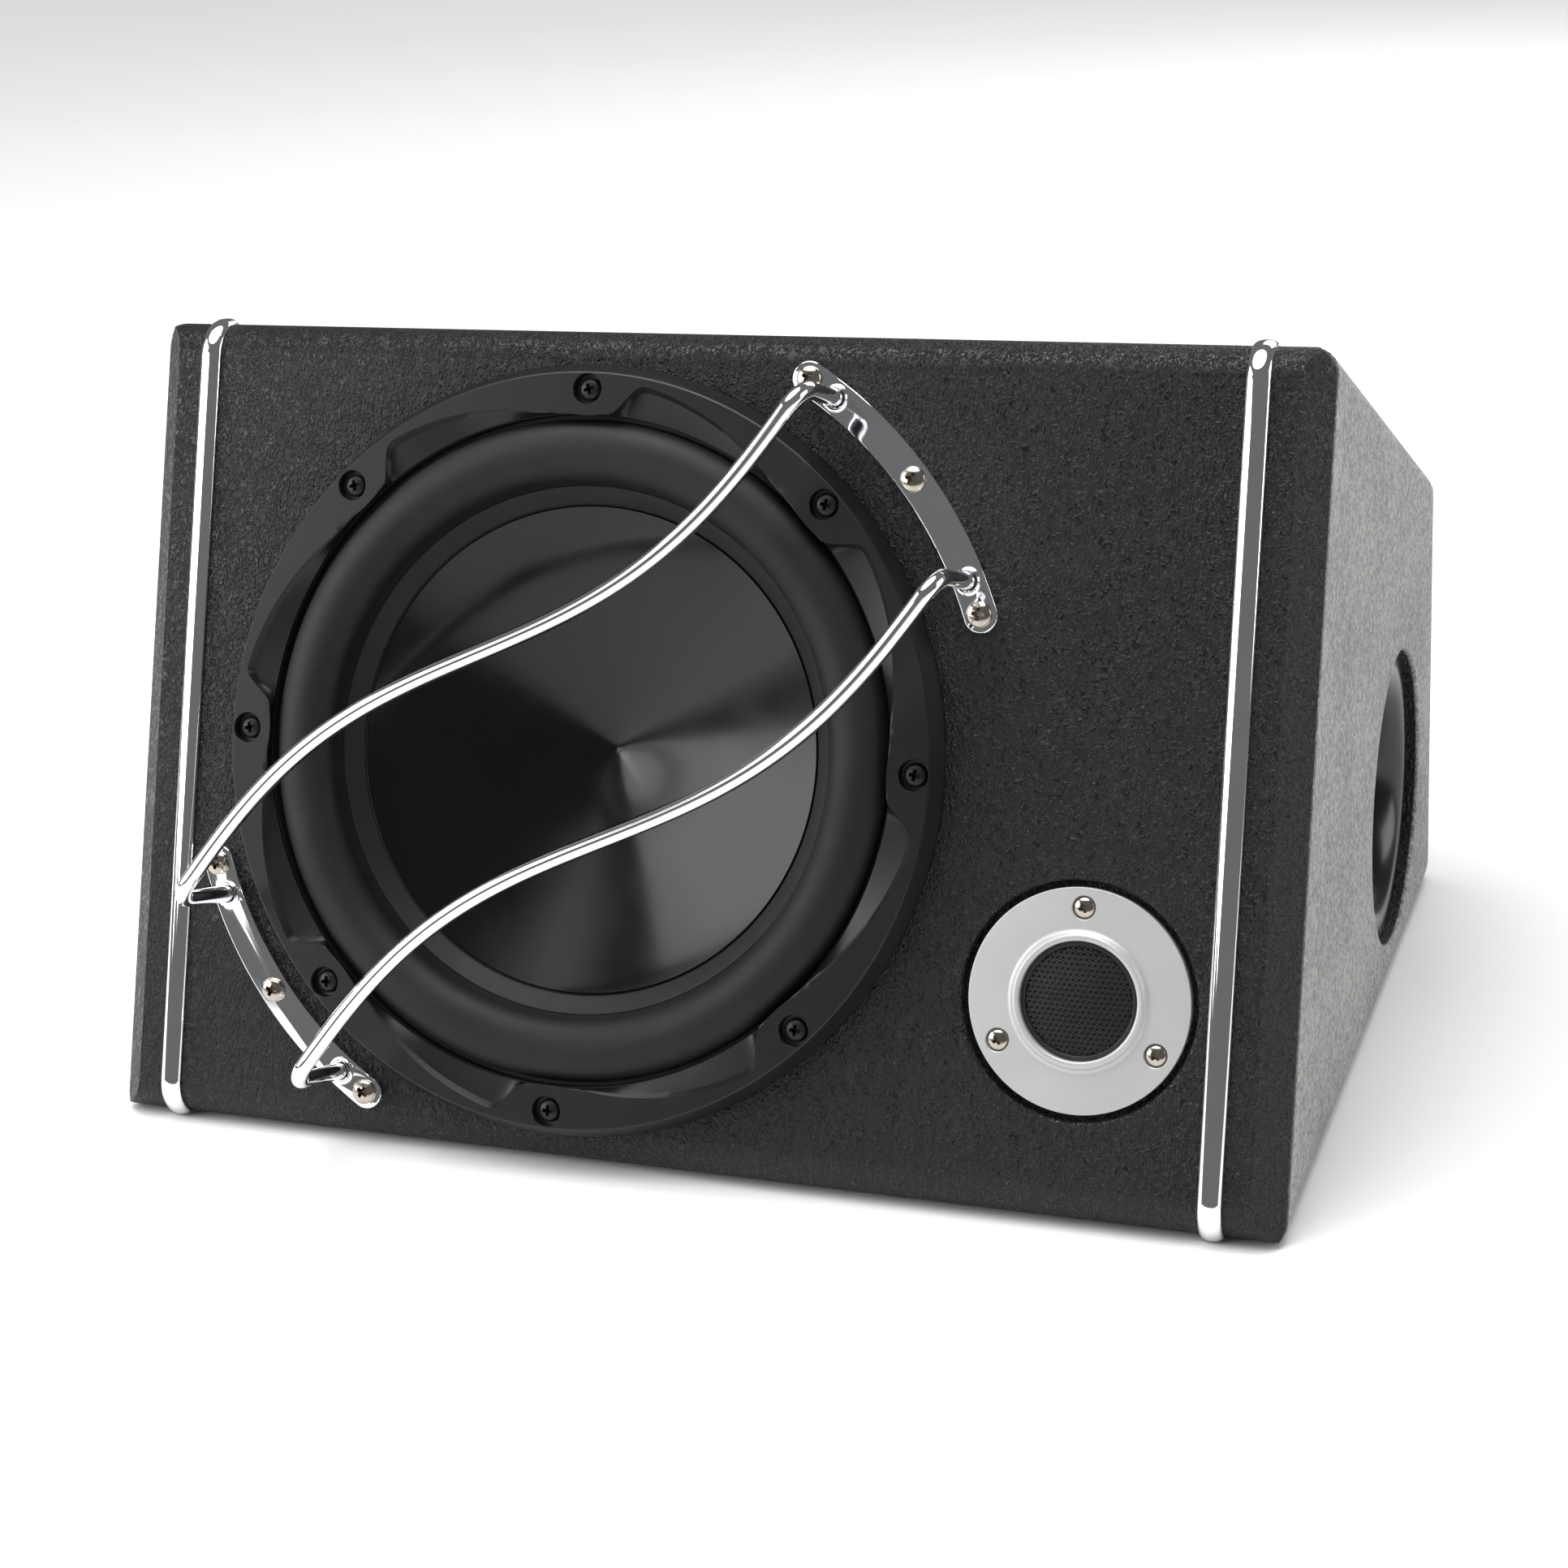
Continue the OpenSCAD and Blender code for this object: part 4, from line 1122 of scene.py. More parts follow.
def stretch_across(made: bpy.types.Object, fixed_r: float, moving_r: float) -> None:
    """Lets a round piece flex from the cabinet at one radius to the cone at another.

    Args:
        made: finished piece, centred on the woofer's axis.
        fixed_r: radius that stays with the cabinet, in millimetres.
        moving_r: radius that moves with the cone, in millimetres.
    """
    centre = LAYOUT.woofer.translation * MM
    ends = [centre + LAYOUT.across * r * MM for r in (fixed_r, moving_r)]
    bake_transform(made, Body.CABINET.value, Body.CONE.value, start=ends[0], end=ends[1])
    weights = made.data.attributes["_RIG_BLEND"].data
    for vert, weight in zip(made.data.vertices, weights):
        arm = vert.co - centre
        radius = (arm - LAYOUT.out * arm.dot(LAYOUT.out)).length / MM
        share = min(1.0, max(0.0, (fixed_r - radius) / (fixed_r - moving_r)))
        weight.value = share * share * (3 - 2 * share)


@dataclass
class TrimRing:
    """Flange ring with eight scoops that spiral in from one screw boss to the next."""

    outer: float = 132.4
    face_outer: float = 128.8
    inner: float = 115.4
    front: float = 7.5
    underside: float = 3.4
    scoops: int = 8
    wall_start: float = 4.2
    wall_end: float = 9.6
    spiral_end: float = 39.0
    reach: float = 126.4
    deepest: float = 2.7

    def edge_radius(self, angle: float) -> float:
        """Radius of a scoop's outer edge, at degrees clockwise from its boss."""
        span = self.reach - self.inner
        if angle < self.wall_end:
            t = min(1.0, max(0.0, (angle - self.wall_start) / (self.wall_end - self.wall_start)))
            return self.inner + span * t * t * (3 - 2 * t)
        t = min(1.0, (angle - self.wall_end) / (self.spiral_end - self.wall_end))
        return self.inner + span * (1 - t ** 1.35)

    def drop(self, angle: float) -> float:
        """Depth of the wall along a scoop's outer edge."""
        if angle < self.wall_start or angle > self.spiral_end:
            return 0.0
        rise = min(1.0, (angle - self.wall_start) / 3.0)
        t = (angle - self.wall_start) / (self.spiral_end - self.wall_start)
        return self.deepest * rise * (1 - t) ** 0.8

    def _shape_point(self, point: Vector) -> Vector:
        """Moves a point of the plain ring's front to its place on the scooped ring."""
        radius = point.xy.length
        if point.z < self.underside + 0.9 or radius > self.face_outer + 0.01:
            return point
        clockwise = (90 - math.degrees(math.atan2(point.y, point.x))) % (360 / self.scoops)
        across = (self.face_outer - radius) / (self.face_outer - self.inner)
        edge, fall = self.edge_radius(clockwise), self.drop(clockwise)
        near_boss = min(clockwise, 360 / self.scoops - clockwise)
        inner = self.inner - 1.0 * math.exp(-((near_boss / 3.6) ** 2))
        edge = max(edge, inner + 0.6)
        foot = edge - min(0.5 + 0.6 * fall, 0.5 * (edge - inner))
        if across <= 0.5:
            r, z = self.face_outer + (edge - self.face_outer) * across * 2, self.front
        elif across <= 0.6:
            t = (across - 0.5) * 10
            r, z = edge + (foot - edge) * t, self.front - fall * t
        else:
            t = (across - 0.6) / 0.4
            lowest = self.underside + 1.0
            r = foot + (inner - foot) * t
            z = self.front - fall
            z += (lowest - z) * t * min(1.0, fall * 1.6 + (edge - self.inner) * 0.12)
        return Vector((point.x * r / radius, point.y * r / radius, z))

    def build(self) -> Shape:
        """Makes the ring's mesh without its screw holes."""
        columns = [0, 0.12, 0.3, 0.44, 0.5, 0.6, 0.64, 0.74, 0.87, 1]
        span = self.face_outer - self.inner
        top = [(self.face_outer - span * c, self.front) for c in columns]
        outline = [(130.8, 0.2), (self.outer, 0.2), (self.outer, 0.9), (self.outer - 0.2, 1.3)]
        outline += [(129.7, 6.5), (129.35, 7.2)] + top
        outline += [(self.inner, self.underside), (130.8, self.underside)]
        return Shape().lathe(outline, 8 * 64).warped(self._shape_point)


@dataclass
class Woofer:
    """Ten-inch driver: ring, screws, surround, dish and the parts that flex."""

    ring: TrimRing = field(default_factory=TrimRing)
    screw_circle: float = 123.5
    screws: int = 8
    seat: float = 3.9
    ledge: float = -1.6
    roll_outer: float = 113.6
    roll_inner: float = 92.2
    roll_rise: float = 9.0
    rubber: float = 1.2
    dish_r: float = 84.6
    dish_rim: float = -9.4
    dish_depth: float = 28.0
    dish_tip: float = 1.4
    spider_z: float = -60.0
    spider_r: Point = (85.0, 26.1)
    spider_flat_r: float = 76.0
    spider_waves: int = 5

    def build(self) -> None:
        """Builds every visible piece of the woofer."""
        self.trim()
        self.surround()
        self.edge_ring()
        self.dish()
        self.spider()
        self.tinsel()

    def trim(self) -> None:
        """Trim ring and its eight sunk screws."""
        bosses = round_of(self.screw_circle, self.screws, 90)
        rim = rounded([(0, -2, 0), (2.6, -2, 0), (2.6, self.seat, 0), (5.0, self.seat, 0.3), (5.2, 7.2, 0),
                       (5.5, 7.6, 0), (5.5, 12, 0), (0, 12, 0)], 2, closed=False)
        ring = self.ring.build().cut(Shape().lathe(rim, 36, closed=False).repeated(bosses))
        ring.piece("scooped_trim_ring", "trim_plastic", LAYOUT.woofer, ["woofer_trim_ring"], 28)
        turns = [boss @ shifted(z=self.seat + 0.1) @ turned(17 + 41 * k) for k, boss in enumerate(bosses)]
        screw = phillips_screw(3.8, 2.0, 2.0, 18).repeated(turns)
        screw.piece("sunk_trim_screws", "black_screw", LAYOUT.woofer, ["woofer_screws"])

    def _roll(self, gap: float, low: float, steps: int) -> list[Point]:
        """Half-roll of the surround, from its outer foot to its inner one."""
        mid, half = (self.roll_outer + self.roll_inner) / 2, (self.roll_outer - self.roll_inner) / 2
        turn = [math.pi * k / steps for k in range(steps + 1)]
        return [(mid + (half - gap) * math.cos(a), low + (self.roll_rise - gap) * math.sin(a)) for a in turn]

    def surround(self) -> None:
        """Half-roll rubber surround that flexes with the cone."""
        low, top = self.ledge + 0.3, self.ledge + 0.3 + self.rubber
        inner = self.roll_inner
        outline = [(115, low), (115, top), (self.roll_outer + 0.4, top)] + self._roll(0, top, 24)
        outline += [(inner - 0.7, -3.9), (inner - 1.0, -4.6), (inner - 1.0, -5.6), (inner + 1, -5.2)]
        outline += self._roll(self.rubber, low, 24)[::-1]
        made = Shape().lathe(outline, 160).piece(
            "rolled_surround", "surround_rubber", LAYOUT.woofer, ["woofer_surround"], 45, None
        )
        stretch_across(made, self.roll_outer, self.roll_inner)

    def edge_ring(self) -> None:
        """Flat matt ring between the surround and the dish."""
        outline = rounded([(91.2, -4.3, 0.3), (91.2, -5.8, 0), (85.3, -10.1, 0), (85.1, -9.2, 0.5)], 3)
        Shape().lathe(outline, 160).piece(
            "flat_edge_ring", "surround_rubber", LAYOUT.woofer, ["cone_edge_ring"], 45, Body.CONE
        )

    def dish(self) -> None:
        """Glossy dish: a shallow cone with a rounded middle and a turned-in rim."""
        def height(r: float) -> float:
            """Front surface at a radius."""
            share = math.hypot(r, self.dish_tip) / math.hypot(self.dish_r, self.dish_tip)
            return self.dish_rim - self.dish_depth * (1 - share ** 1.12)

        radii = [self.dish_r * (k / 40) ** 1.3 for k in range(41)]
        front = [(r, height(r)) for r in radii[:-1]]
        rim = [(84.2, self.dish_rim - 0.15)]
        rim += [(self.dish_r, self.dish_rim - down) for down in (0.5, 1.1)]
        back = [(r, height(r) - 1.1) for r in radii[-3::-4]] + [(0, height(0) - 1.1)]
        Shape().lathe(front + rim + back, 192, closed=False).piece(
            "gloss_dish", "dish_gloss", LAYOUT.woofer, ["cone_dish"], 45, Body.CONE
        )

    def spider(self) -> None:
        """Corrugated spider that flexes between the basket and the former."""
        (outer, inner), flat, steps = self.spider_r, self.spider_flat_r, 60
        wave = [(flat - (flat - inner) * k / steps, 2 * math.cos(math.tau * self.spider_waves * k / steps) - 2)
                for k in range(steps + 1)]
        outline = [(outer, 0)] + wave
        top = [(r, self.spider_z + z + 0.6 - 1.3) for r, z in outline]
        under = [(r, self.spider_z + z - 1.3) for r, z in outline]
        made = Shape().lathe(top + under[::-1], 96).piece(
            "corrugated_spider", "spider_cloth", LAYOUT.woofer, ["spider"], 50, None
        )
        stretch_across(made, flat, inner)

    def tinsel(self) -> None:
        """Two braided leads that sag from the terminal strip to the cone."""
        route = [(102.9, -28), (97, -28), (87, -34), (75, -38), (64, -37.6), (57, -34.6)]
        braid = Shape()
        for side in (-4.5, 4.5):
            ways = [Vector((r, side, z)) for r, z in route]
            braid.join(Shape().sweep(arc((0, 0), 0.85, 0, 324, 9), along(ways, Vector((0, 1, 0)))))
        made = braid.piece(
            "braided_tinsel_leads", "copper", LAYOUT.woofer @ turned(20), ["tinsel_leads"], 60, None
        )
        stretch_across(made, 100, 60)


def along(points: Sequence[Vector], side: Vector) -> list[Matrix]:
    """Frames along a path, whose x axis stays close to one side."""
    places = []
    for i, here in enumerate(points):
        way = (points[min(i + 1, len(points) - 1)] - points[max(i - 1, 0)]).normalized()
        x = (side - way * side.dot(way)).normalized()
        places.append(axes(here, x, way.cross(x), way))
    return places


# ---------- tweeter ----------


@dataclass
class Tweeter:
    """Silver faceplate, perforated dome and three screws."""

    plate_r: float = 36.95
    recess: float = 4.2
    plate_t: float = 3.2
    lip_r: float = 19.5
    mesh_r: float = 18.3
    mesh_rise: float = 0.5
    dome_radius: float = 77.0
    pitch: float = 1.95
    strut: float = 0.86
    mesh_t: float = 0.45
    screw_circle: float = 30.3

    def build(self) -> None:
        """Builds every visible piece of the tweeter."""
        self.faceplate()
        self.grille()
        seats = round_of(self.screw_circle, 3, 90)
        places = [seat @ shifted(z=-2.5) @ turned(25 + 70 * k) for k, seat in enumerate(seats)]
        screws = phillips_screw(3.4, 2.0, 1.5, 13).repeated(places)
        screws.piece("pan_tweeter_screws", "nickel", LAYOUT.tweeter, ["tweeter_screws"])

    def faceplate(self) -> None:
        """Faceplate with a rolled lip round the dome and three counterbores."""
        low, top, lip = -self.recess, -self.recess + self.plate_t, self.lip_r
        outline = rounded([
            (self.plate_r, low, 0), (self.plate_r, top, 0.5), (lip + 3.3, top, 2.4), (lip + 1.9, 0.8, 1.2),
            (lip, 0.65, 0.9), (lip, low, 0)
        ], 8)
        plate = Shape().lathe(outline, 160)
        bore = rounded([(0, -10, 0), (1.9, -10, 0), (1.9, -2.6, 0), (3.8, -2.6, 0.4), (3.9, top - 0.3, 0),
                        (4.3, top + 0.1, 0), (4.3, 4, 0), (0, 4, 0)], 3, closed=False)
        seats = round_of(self.screw_circle, 3, 90)
        plate.cut(*[Shape().lathe(bore, 32, closed=False).moved(seat) for seat in seats])
        plate.piece("silver_faceplate", "silver_paint", LAYOUT.tweeter, ["tweeter_faceplate"], 28)

    def grille(self) -> None:
        """Domed sheet of close-packed round holes, in a plain rim."""
        sheet, cell = Shape(), self.pitch / math.sqrt(3)
        reach = int(self.mesh_r / self.pitch) + 2
        for row in range(-reach, reach + 1):
            for column in range(-reach, reach + 1):
                x, y = self.pitch * (column + row / 2), self.pitch * row * math.sqrt(0.75)
                if math.hypot(x, y) < self.mesh_r - cell * 0.4:
                    bmesh.ops.create_circle(
                        sheet.bm, cap_ends=True, segments=6, radius=cell,
                        matrix=shifted(x, y) @ turned(30),
                    )
        sheet.mend()
        holes = sheet.bm.faces[:]
        bmesh.ops.inset_individual(sheet.bm, faces=holes, thickness=self.strut / 2)
        bmesh.ops.delete(sheet.bm, geom=holes, context="FACES_ONLY")
        top = self.mesh_rise - self.dome_radius

        def onto_dome(point: Vector) -> Vector:
            """Lifts a point of the flat sheet onto the dome."""
            height = top + math.sqrt(self.dome_radius ** 2 - point.xy.length_squared)
            return Vector((point.x, point.y, height))

        sheet.warped(onto_dome)
        bmesh.ops.solidify(sheet.bm, geom=sheet.bm.faces[:], thickness=self.mesh_t)
        rim = rounded([(19.35, -5.2, 0), (19.35, -1.5, 0.3), (18.0, -1.3, 0.4), (17.7, -2.2, 0),
                       (18.4, -5.2, 0)], 3)
        sheet.mend().join(Shape().lathe(rim, 96))
        made = sheet.piece("perforated_dome", "black_mesh", LAYOUT.tweeter, ["tweeter_grille"], 60)
        gauze = [(r, onto_dome(Vector((r, 0, 0))).z - 1.2) for r in (0, 6, 12, 18.2)]
        gauze += [(r, z - 0.3) for r, z in reversed(gauze)]
        Shape().lathe(gauze, 64, closed=False).piece("mesh_gauze", "foam", LAYOUT.tweeter)
        smooth = made.modifiers.new("round holes", "SUBSURF")
        smooth.levels = smooth.render_levels = 1


# ---------- port ----------


@dataclass
class Port:
    """Flared gloss port and its tube."""

    recess: float = 6.6
    recess_r: float = 55.9
    lip_t: float = 2.0
    flare_r: float = 52.0
    throat: float = 37.0
    length: float = 34.0
    wall: float = 2.5
    inner_end: float = 72.0

    def build(self) -> None:
        """Builds the flare and the tube."""
        mouth = -self.recess + self.lip_t
        foot = mouth - self.length
        lip = [(50.2, -self.recess, 0), (55.5, -self.recess, 0), (55.5, mouth, 0.9), (54.0, mouth, 0)]
        outline = rounded(lip, 4, closed=False)
        front = [(self.flare_r - (self.flare_r - self.throat) * math.cos(a), foot + self.length * math.sin(a))
                 for a in (math.radians(90 - 5 * k) for k in range(19))]
        outside = self.throat + self.wall
        tail = [(self.throat, foot - 12), (outside, foot - 12), (outside, foot)]
        outer = self.flare_r - self.throat - self.wall
        back = [(self.flare_r - outer * math.cos(a), foot + (self.length - self.lip_t) * math.sin(a))
                for a in (math.radians(15 * k) for k in range(1, 6))]
        flare = Shape().lathe(outline + front + tail + back, 160)
        flare.piece("gloss_port_flare", "port_gloss", LAYOUT.port, ["port_flare"], 40)
        wall = [(self.recess_r + 0.25, -self.recess), (self.recess_r + 0.25, -1.2), (self.recess_r, -1.2)]
        lining = wall + [(self.recess_r - 0.35, -1.6), (self.recess_r - 0.35, -self.recess)]
        Shape().lathe(lining, 128).piece("recess_lining", "black_vinyl", LAYOUT.port)
        inner = self.throat + self.wall + 0.1
        tube = ring_section(inner + self.wall, inner, self.inner_end - LAYOUT.half_w, -self.length - 10, 0.4)
        Shape().lathe(tube, 128).piece(
            "long_port_tube", "port_gloss", LAYOUT.port, ["port_tube"], 40
        )


# ---------- guard ----------


@dataclass
class Guard:
    """Two wave-shaped chrome bars on two arc-shaped brackets."""

    offset: Point = (3.2, 2.2)
    turn: float = 40.0
    standoff: float = 37.95
    bar_r: float = 2.95
    wave: float = 12.8
    bracket_r: float = 147.5
    bracket_w: float = 11.6
    bracket_t: float = 2.0
    screw_spread: float = 19.5
    bar_spread: float = 15.0
    bend: float = 8.0

    def build(self) -> None:
        """Builds bars, brackets and screws."""
        place = LAYOUT.guard(self.offset, self.turn)
        for name, side in (("upper", 0), ("lower", 180)):
            bar = Shape().sweep(arc((0, 0), self.bar_r, 0, 345, 23), along(self._path(), Vector((0, 1, 0))))
            bar.piece(f"{name}_chrome_bar", "bright_chrome", place @ turned(side),
                      [f"{name}_guard_bar"], 60)
        for name, side in (("right", 0), ("left", 180)):
            self._bracket().piece(f"{name}_chrome_bracket", "bright_chrome", place @ turned(side),
                                  [f"{name}_bracket"], 30)
        out = shifted(self.bracket_r, 0, self.bracket_t)
        seats = [turned(side + a * self.screw_spread) @ out @ turned(30 + 57 * a)
                 for side in (0, 180) for a in (-1, 0, 1)]
        phillips_screw(4.3, 2.6, 1.8, 15).repeated(seats).piece(
            "pan_bracket_screws", "nickel", place, ["bracket_screws"]
        )

    def _path(self) -> list[Vector]:
        """Middle line of one bar: stub, bend, wave, bend and stub."""
        spread = math.radians(self.bar_spread)
        half, side = self.bracket_r * math.cos(spread), self.bracket_r * math.sin(spread)
        slope = math.atan(self.wave * math.pi / half)
        way = Vector((math.cos(slope), math.sin(slope), 0))

        def end(sign: int) -> list[Vector]:
            """Stub and bend at one end."""
            foot = Vector((sign * half, side, 0.3))
            corner = Vector((sign * half, side, self.standoff - self.bend))
            turns = [math.radians(10 * k) for k in range(10)]
            return [foot, foot.lerp(corner, 0.5)] + [
                corner - way * sign * self.bend * (1 - math.cos(a)) + Vector((0, 0, self.bend * math.sin(a)))
                for a in turns
            ]

        reach = half - self.bend * way.x - 3
        stops = [reach * (1 - 2 * k / 72) for k in range(73)]
        middle_run = [Vector((u, side - self.wave * math.sin(math.pi * u / half), self.standoff))
                      for u in stops]
        return end(1) + middle_run + end(-1)[::-1]

    def _bracket(self) -> Shape:
        """Arc-shaped strip with round ends, screw holes and a drawn collar round each bar."""
        reach, half = self.screw_spread + 0.2, self.bracket_w / 2
        tips = [tuple(turned(a) @ Vector((self.bracket_r, 0, 0)))[:2] for a in (-reach, reach)]
        outline = arc((0, 0), self.bracket_r + half, -reach, reach, 28)
        outline += arc(tips[1], half, reach, reach + 180, 14)[1:-1]
        outline += arc((0, 0), self.bracket_r - half, reach, -reach, 28)
        outline += arc(tips[0], half, 180 - reach, 360 - reach, 14)[1:-1]
        strip = Shape().prism(outline, 0, self.bracket_t)
        strip.bevelled(0.55, 3, lambda e: all(v.co.z > self.bracket_t - 0.01 for v in e.verts))
        inner, wide, tall = self.bar_r + 0.12, half - 0.4, self.bracket_t + 1.3
        screws = [turned(a * self.screw_spread) @ shifted(self.bracket_r) for a in (-1, 0, 1)]
        bars = [turned(a * self.bar_spread) @ shifted(self.bracket_r) for a in (-1, 1)]
        strip.cut(post(2.1, -1, 5, 24).repeated(screws).join(post(inner + 0.1, -1, 6, 40).repeated(bars)))
        flare = [(inner, self.bracket_t - 0.6), (wide, self.bracket_t - 0.05)]
        flare += [(wide - (wide - inner - 0.5) * math.sin(a), self.bracket_t - 0.05 + 1.3 * (1 - math.cos(a)))
                  for a in (math.radians(15 * k) for k in range(1, 7))]
        flare += [(inner + 0.2, tall), (inner, tall - 0.3)]
        return strip.join(Shape().lathe(flare, 40).repeated(bars))


# ---------- amplifier ----------


@dataclass
class Amplifier:
    """Rear panel with heat sink, knobs, switch, jacks, terminals and fuse."""

    panel: Point = (236.0, 126.0)
    panel_t: float = 3.0
    knob_x: tuple[float, ...] = (32.0, 60.0, 88.0)
    knob_y: float = 34.0
    knob_r: float = 7.0
    switch: Point = (32.0, 4.0)
    travel: float = 4.0
    jack_x: tuple[float, ...] = (66.0, 88.0)
    jack_y: float = 4.0
    block: Point = (48.0, -36.0)
    fuse: Point = (93.0, -36.0)
    poles: int = 4
    pole_pitch: float = 12.9
    blade_x: float = 6.6
    dial_sweep: float = 140.0
    sink_x: float = -50.0
    fins: int = 13
    fin_pitch: float = 9.8

    def build(self) -> None:
        """Builds every piece on the rear panel."""
        self.plate()
        self.sink()
        for x, body, name in zip(
            self.knob_x, (Body.LEVEL, Body.CROSSOVER, Body.BOOST), ("level", "crossover", "boost")
        ):
            self.knob(x, body, name)
        self.dials()
        self.sockets()
        self.strip()
        self.fuse_pieces()
        self.panel_screws()

    def plate(self) -> None:
        """Panel with softened edges and its cut-outs."""
        outline = rounded_box(*self.panel, 5.0)
        face = Shape().prism(outline, 0, self.panel_t)
        face.bevelled(0.8, 3, lambda e: all(v.co.z > self.panel_t - 0.01 for v in e.verts))
        face.join(Shape().block(self.panel[0] - 30, self.panel[1] - 24, -2, -0.01))
        holes = [post(3.6, -5, 8).moved(shifted(x, self.knob_y)) for x in self.knob_x]
        holes += [post(4.7, -5, 8).moved(shifted(x, self.jack_y)) for x in self.jack_x]
        slots = ((12, 5.4, self.switch), (54, 17, self.block), (22, 9, self.fuse))
        holes += [Shape().block(wide, tall, -5, 8).moved(shifted(*at)) for wide, tall, at in slots]
        face.cut(*holes).piece("coated_amp_panel", "amp_plate", LAYOUT.rear, ["amp_panel"], 30)

    def sink(self) -> None:
        """Extruded heat sink with round-topped, ribbed fins."""
        base = Shape().block(120, 104, self.panel_t, self.panel_t + 4).softened(0.6)
        fin = Shape().prism(
            rounded([(-1.2, 3.5, 0), (1.2, 3.5, 0), (1.0, 17, 0.9), (-1.0, 17, 0.9)], 3), -52, 52
        ).moved(axes((0, 0, self.panel_t), (1, 0, 0), (0, 0, 1), (0, -1, 0)))
        base.join(fin.repeated(self._row(self.fins, self.fin_pitch)))
        base.piece("finned_heat_sink", "black_anodised", LAYOUT.rear @ shifted(self.sink_x),
                   ["heat_sink"], 30)

    def knob(self, x: float, body: Body, name: str) -> None:
        """One ribbed knob with a pointer groove.

        Args:
            x: place along the row of knobs.
            body: body that it turns with.
            name: which control it is.
        """
        low, grip = self.panel_t + 1, self.knob_r - 0.8
        skirt = rounded([(0, low, 0), (self.knob_r, low, 0), (self.knob_r, low + 2, 0.8),
                         (grip - 0.5, low + 2.1, 0), (grip - 0.9, low + 11, 1.1), (0, low + 11, 0)],
                        3, closed=False)
        made = Shape().lathe(skirt, 64, closed=False)
        pointer = Shape().block(1.1, self.knob_r * 2, low + 10.2, low + 14)
        made.cut(pointer.moved(shifted(0, self.knob_r * 0.5 + 3.5)))
        rib = Shape().block(0.9, 0.9, low + 2, low + 9.6).softened(0.25, 2)
        made.join(rib.repeated(round_of(grip - 0.6, 20)))
        made.join(post(3.0, -9, low + 1, 24))
        made.piece(f"ribbed_{name}_knob", "knob_plastic", LAYOUT.rear @ shifted(x, self.knob_y),
                   [f"{name}_knob"], 35, body)

    def dials(self) -> None:
        """Printed ticks round the knobs, as thin raised marks."""
        marks = Shape()
        for x in self.knob_x:
            for k in range(11):
                long = 2.6 if k % 5 == 0 else 1.5
                tick = Shape().block(0.45, long, self.panel_t - 0.1, self.panel_t + 0.12)
                turn = turned(self.dial_sweep * (1 - k / 5))
                place = shifted(x, self.knob_y) @ turn @ shifted(0, 9.4 + long / 2)
                marks.join(tick.moved(place))
        ring = ring_section(8.4, 7.8, self.panel_t - 0.1, self.panel_t + 0.12)
        marks.join(Shape().lathe(ring, 48).repeated(self._jacks()))
        marks.piece("dial_marks", "lever_white", LAYOUT.rear)

    @staticmethod
    def _row(count: int, pitch: float) -> list[Matrix]:
        """Places in a centred row along x."""
        return [shifted(pitch * (i - (count - 1) / 2)) for i in range(count)]

    def _jacks(self) -> list[Matrix]:
        """Places of the jacks on the panel."""
        return [shifted(x, self.jack_y) for x in self.jack_x]

    def sockets(self) -> None:
        """Phono jacks with ringed barrels, and the slide switch's lever."""
        barrel = [(1.6, -2.5), (4.6, -2.5), (4.6, 3.9), (5.6, 3.9), (5.6, 5.2), (4.15, 5.2)]
        barrel += [(4.15, 14.6), (3.8, 15), (2.9, 15), (2.6, 14.2), (1.6, 14.2)]
        jack = Shape().lathe(barrel, 48).join(Shape().block(12, 14, -16, -2.4).softened(0.4))
        jack.repeated(self._jacks()).piece("phono_jacks", "terminal_brass", LAYOUT.rear, ["input_jacks"], 30)
        ring = ring_section(6.6, 4.75, self.panel_t - 0.2, self.panel_t + 0.7, 0.25)
        collars = Shape().lathe(ring, 48).repeated(self._jacks())
        collars.piece("jack_collars", "black_epoxy", LAYOUT.rear)
        stem = Shape().block(5, 3.2, -5.6, -0.05)
        stem.join(Shape().block(3, 2.6, -0.1, self.panel_t + 2.4).softened(0.4))
        place = LAYOUT.rear @ shifted(self.switch[0] - self.travel / 2, self.switch[1])
        stem.piece("switch_lever", "lever_white", place, ["phase_lever"], 30, Body.PHASE)

    def strip(self) -> None:
        """Barrier strip with round-topped walls and four clamp screws."""
        body = Shape().block(53.6, 16.6, -8, self.panel_t + 1).softened(0.4)
        wall = Shape().block(2, 16.6, self.panel_t + 0.5, self.panel_t + 10).softened(0.6)
        body.join(wall.repeated(self._row(self.poles + 1, self.pole_pitch)))
        place = LAYOUT.rear @ shifted(*self.block)
        body.piece("barrier_strip", "black_epoxy", place, ["power_block"], 30)
        spots = self._row(self.poles, self.pole_pitch)
        top = self.panel_t + 1
        clamps = Shape().block(9.4, 9.4, top, top + 0.8).softened(0.2).repeated(spots)
        screws = phillips_screw(3.6, 1.9, 1.8, 4).moved(shifted(z=top + 0.8)).repeated(
            spot @ turned(20 + 33 * i) for i, spot in enumerate(spots)
        )
        clamps.join(screws).piece("clamp_screws", "nickel", place)

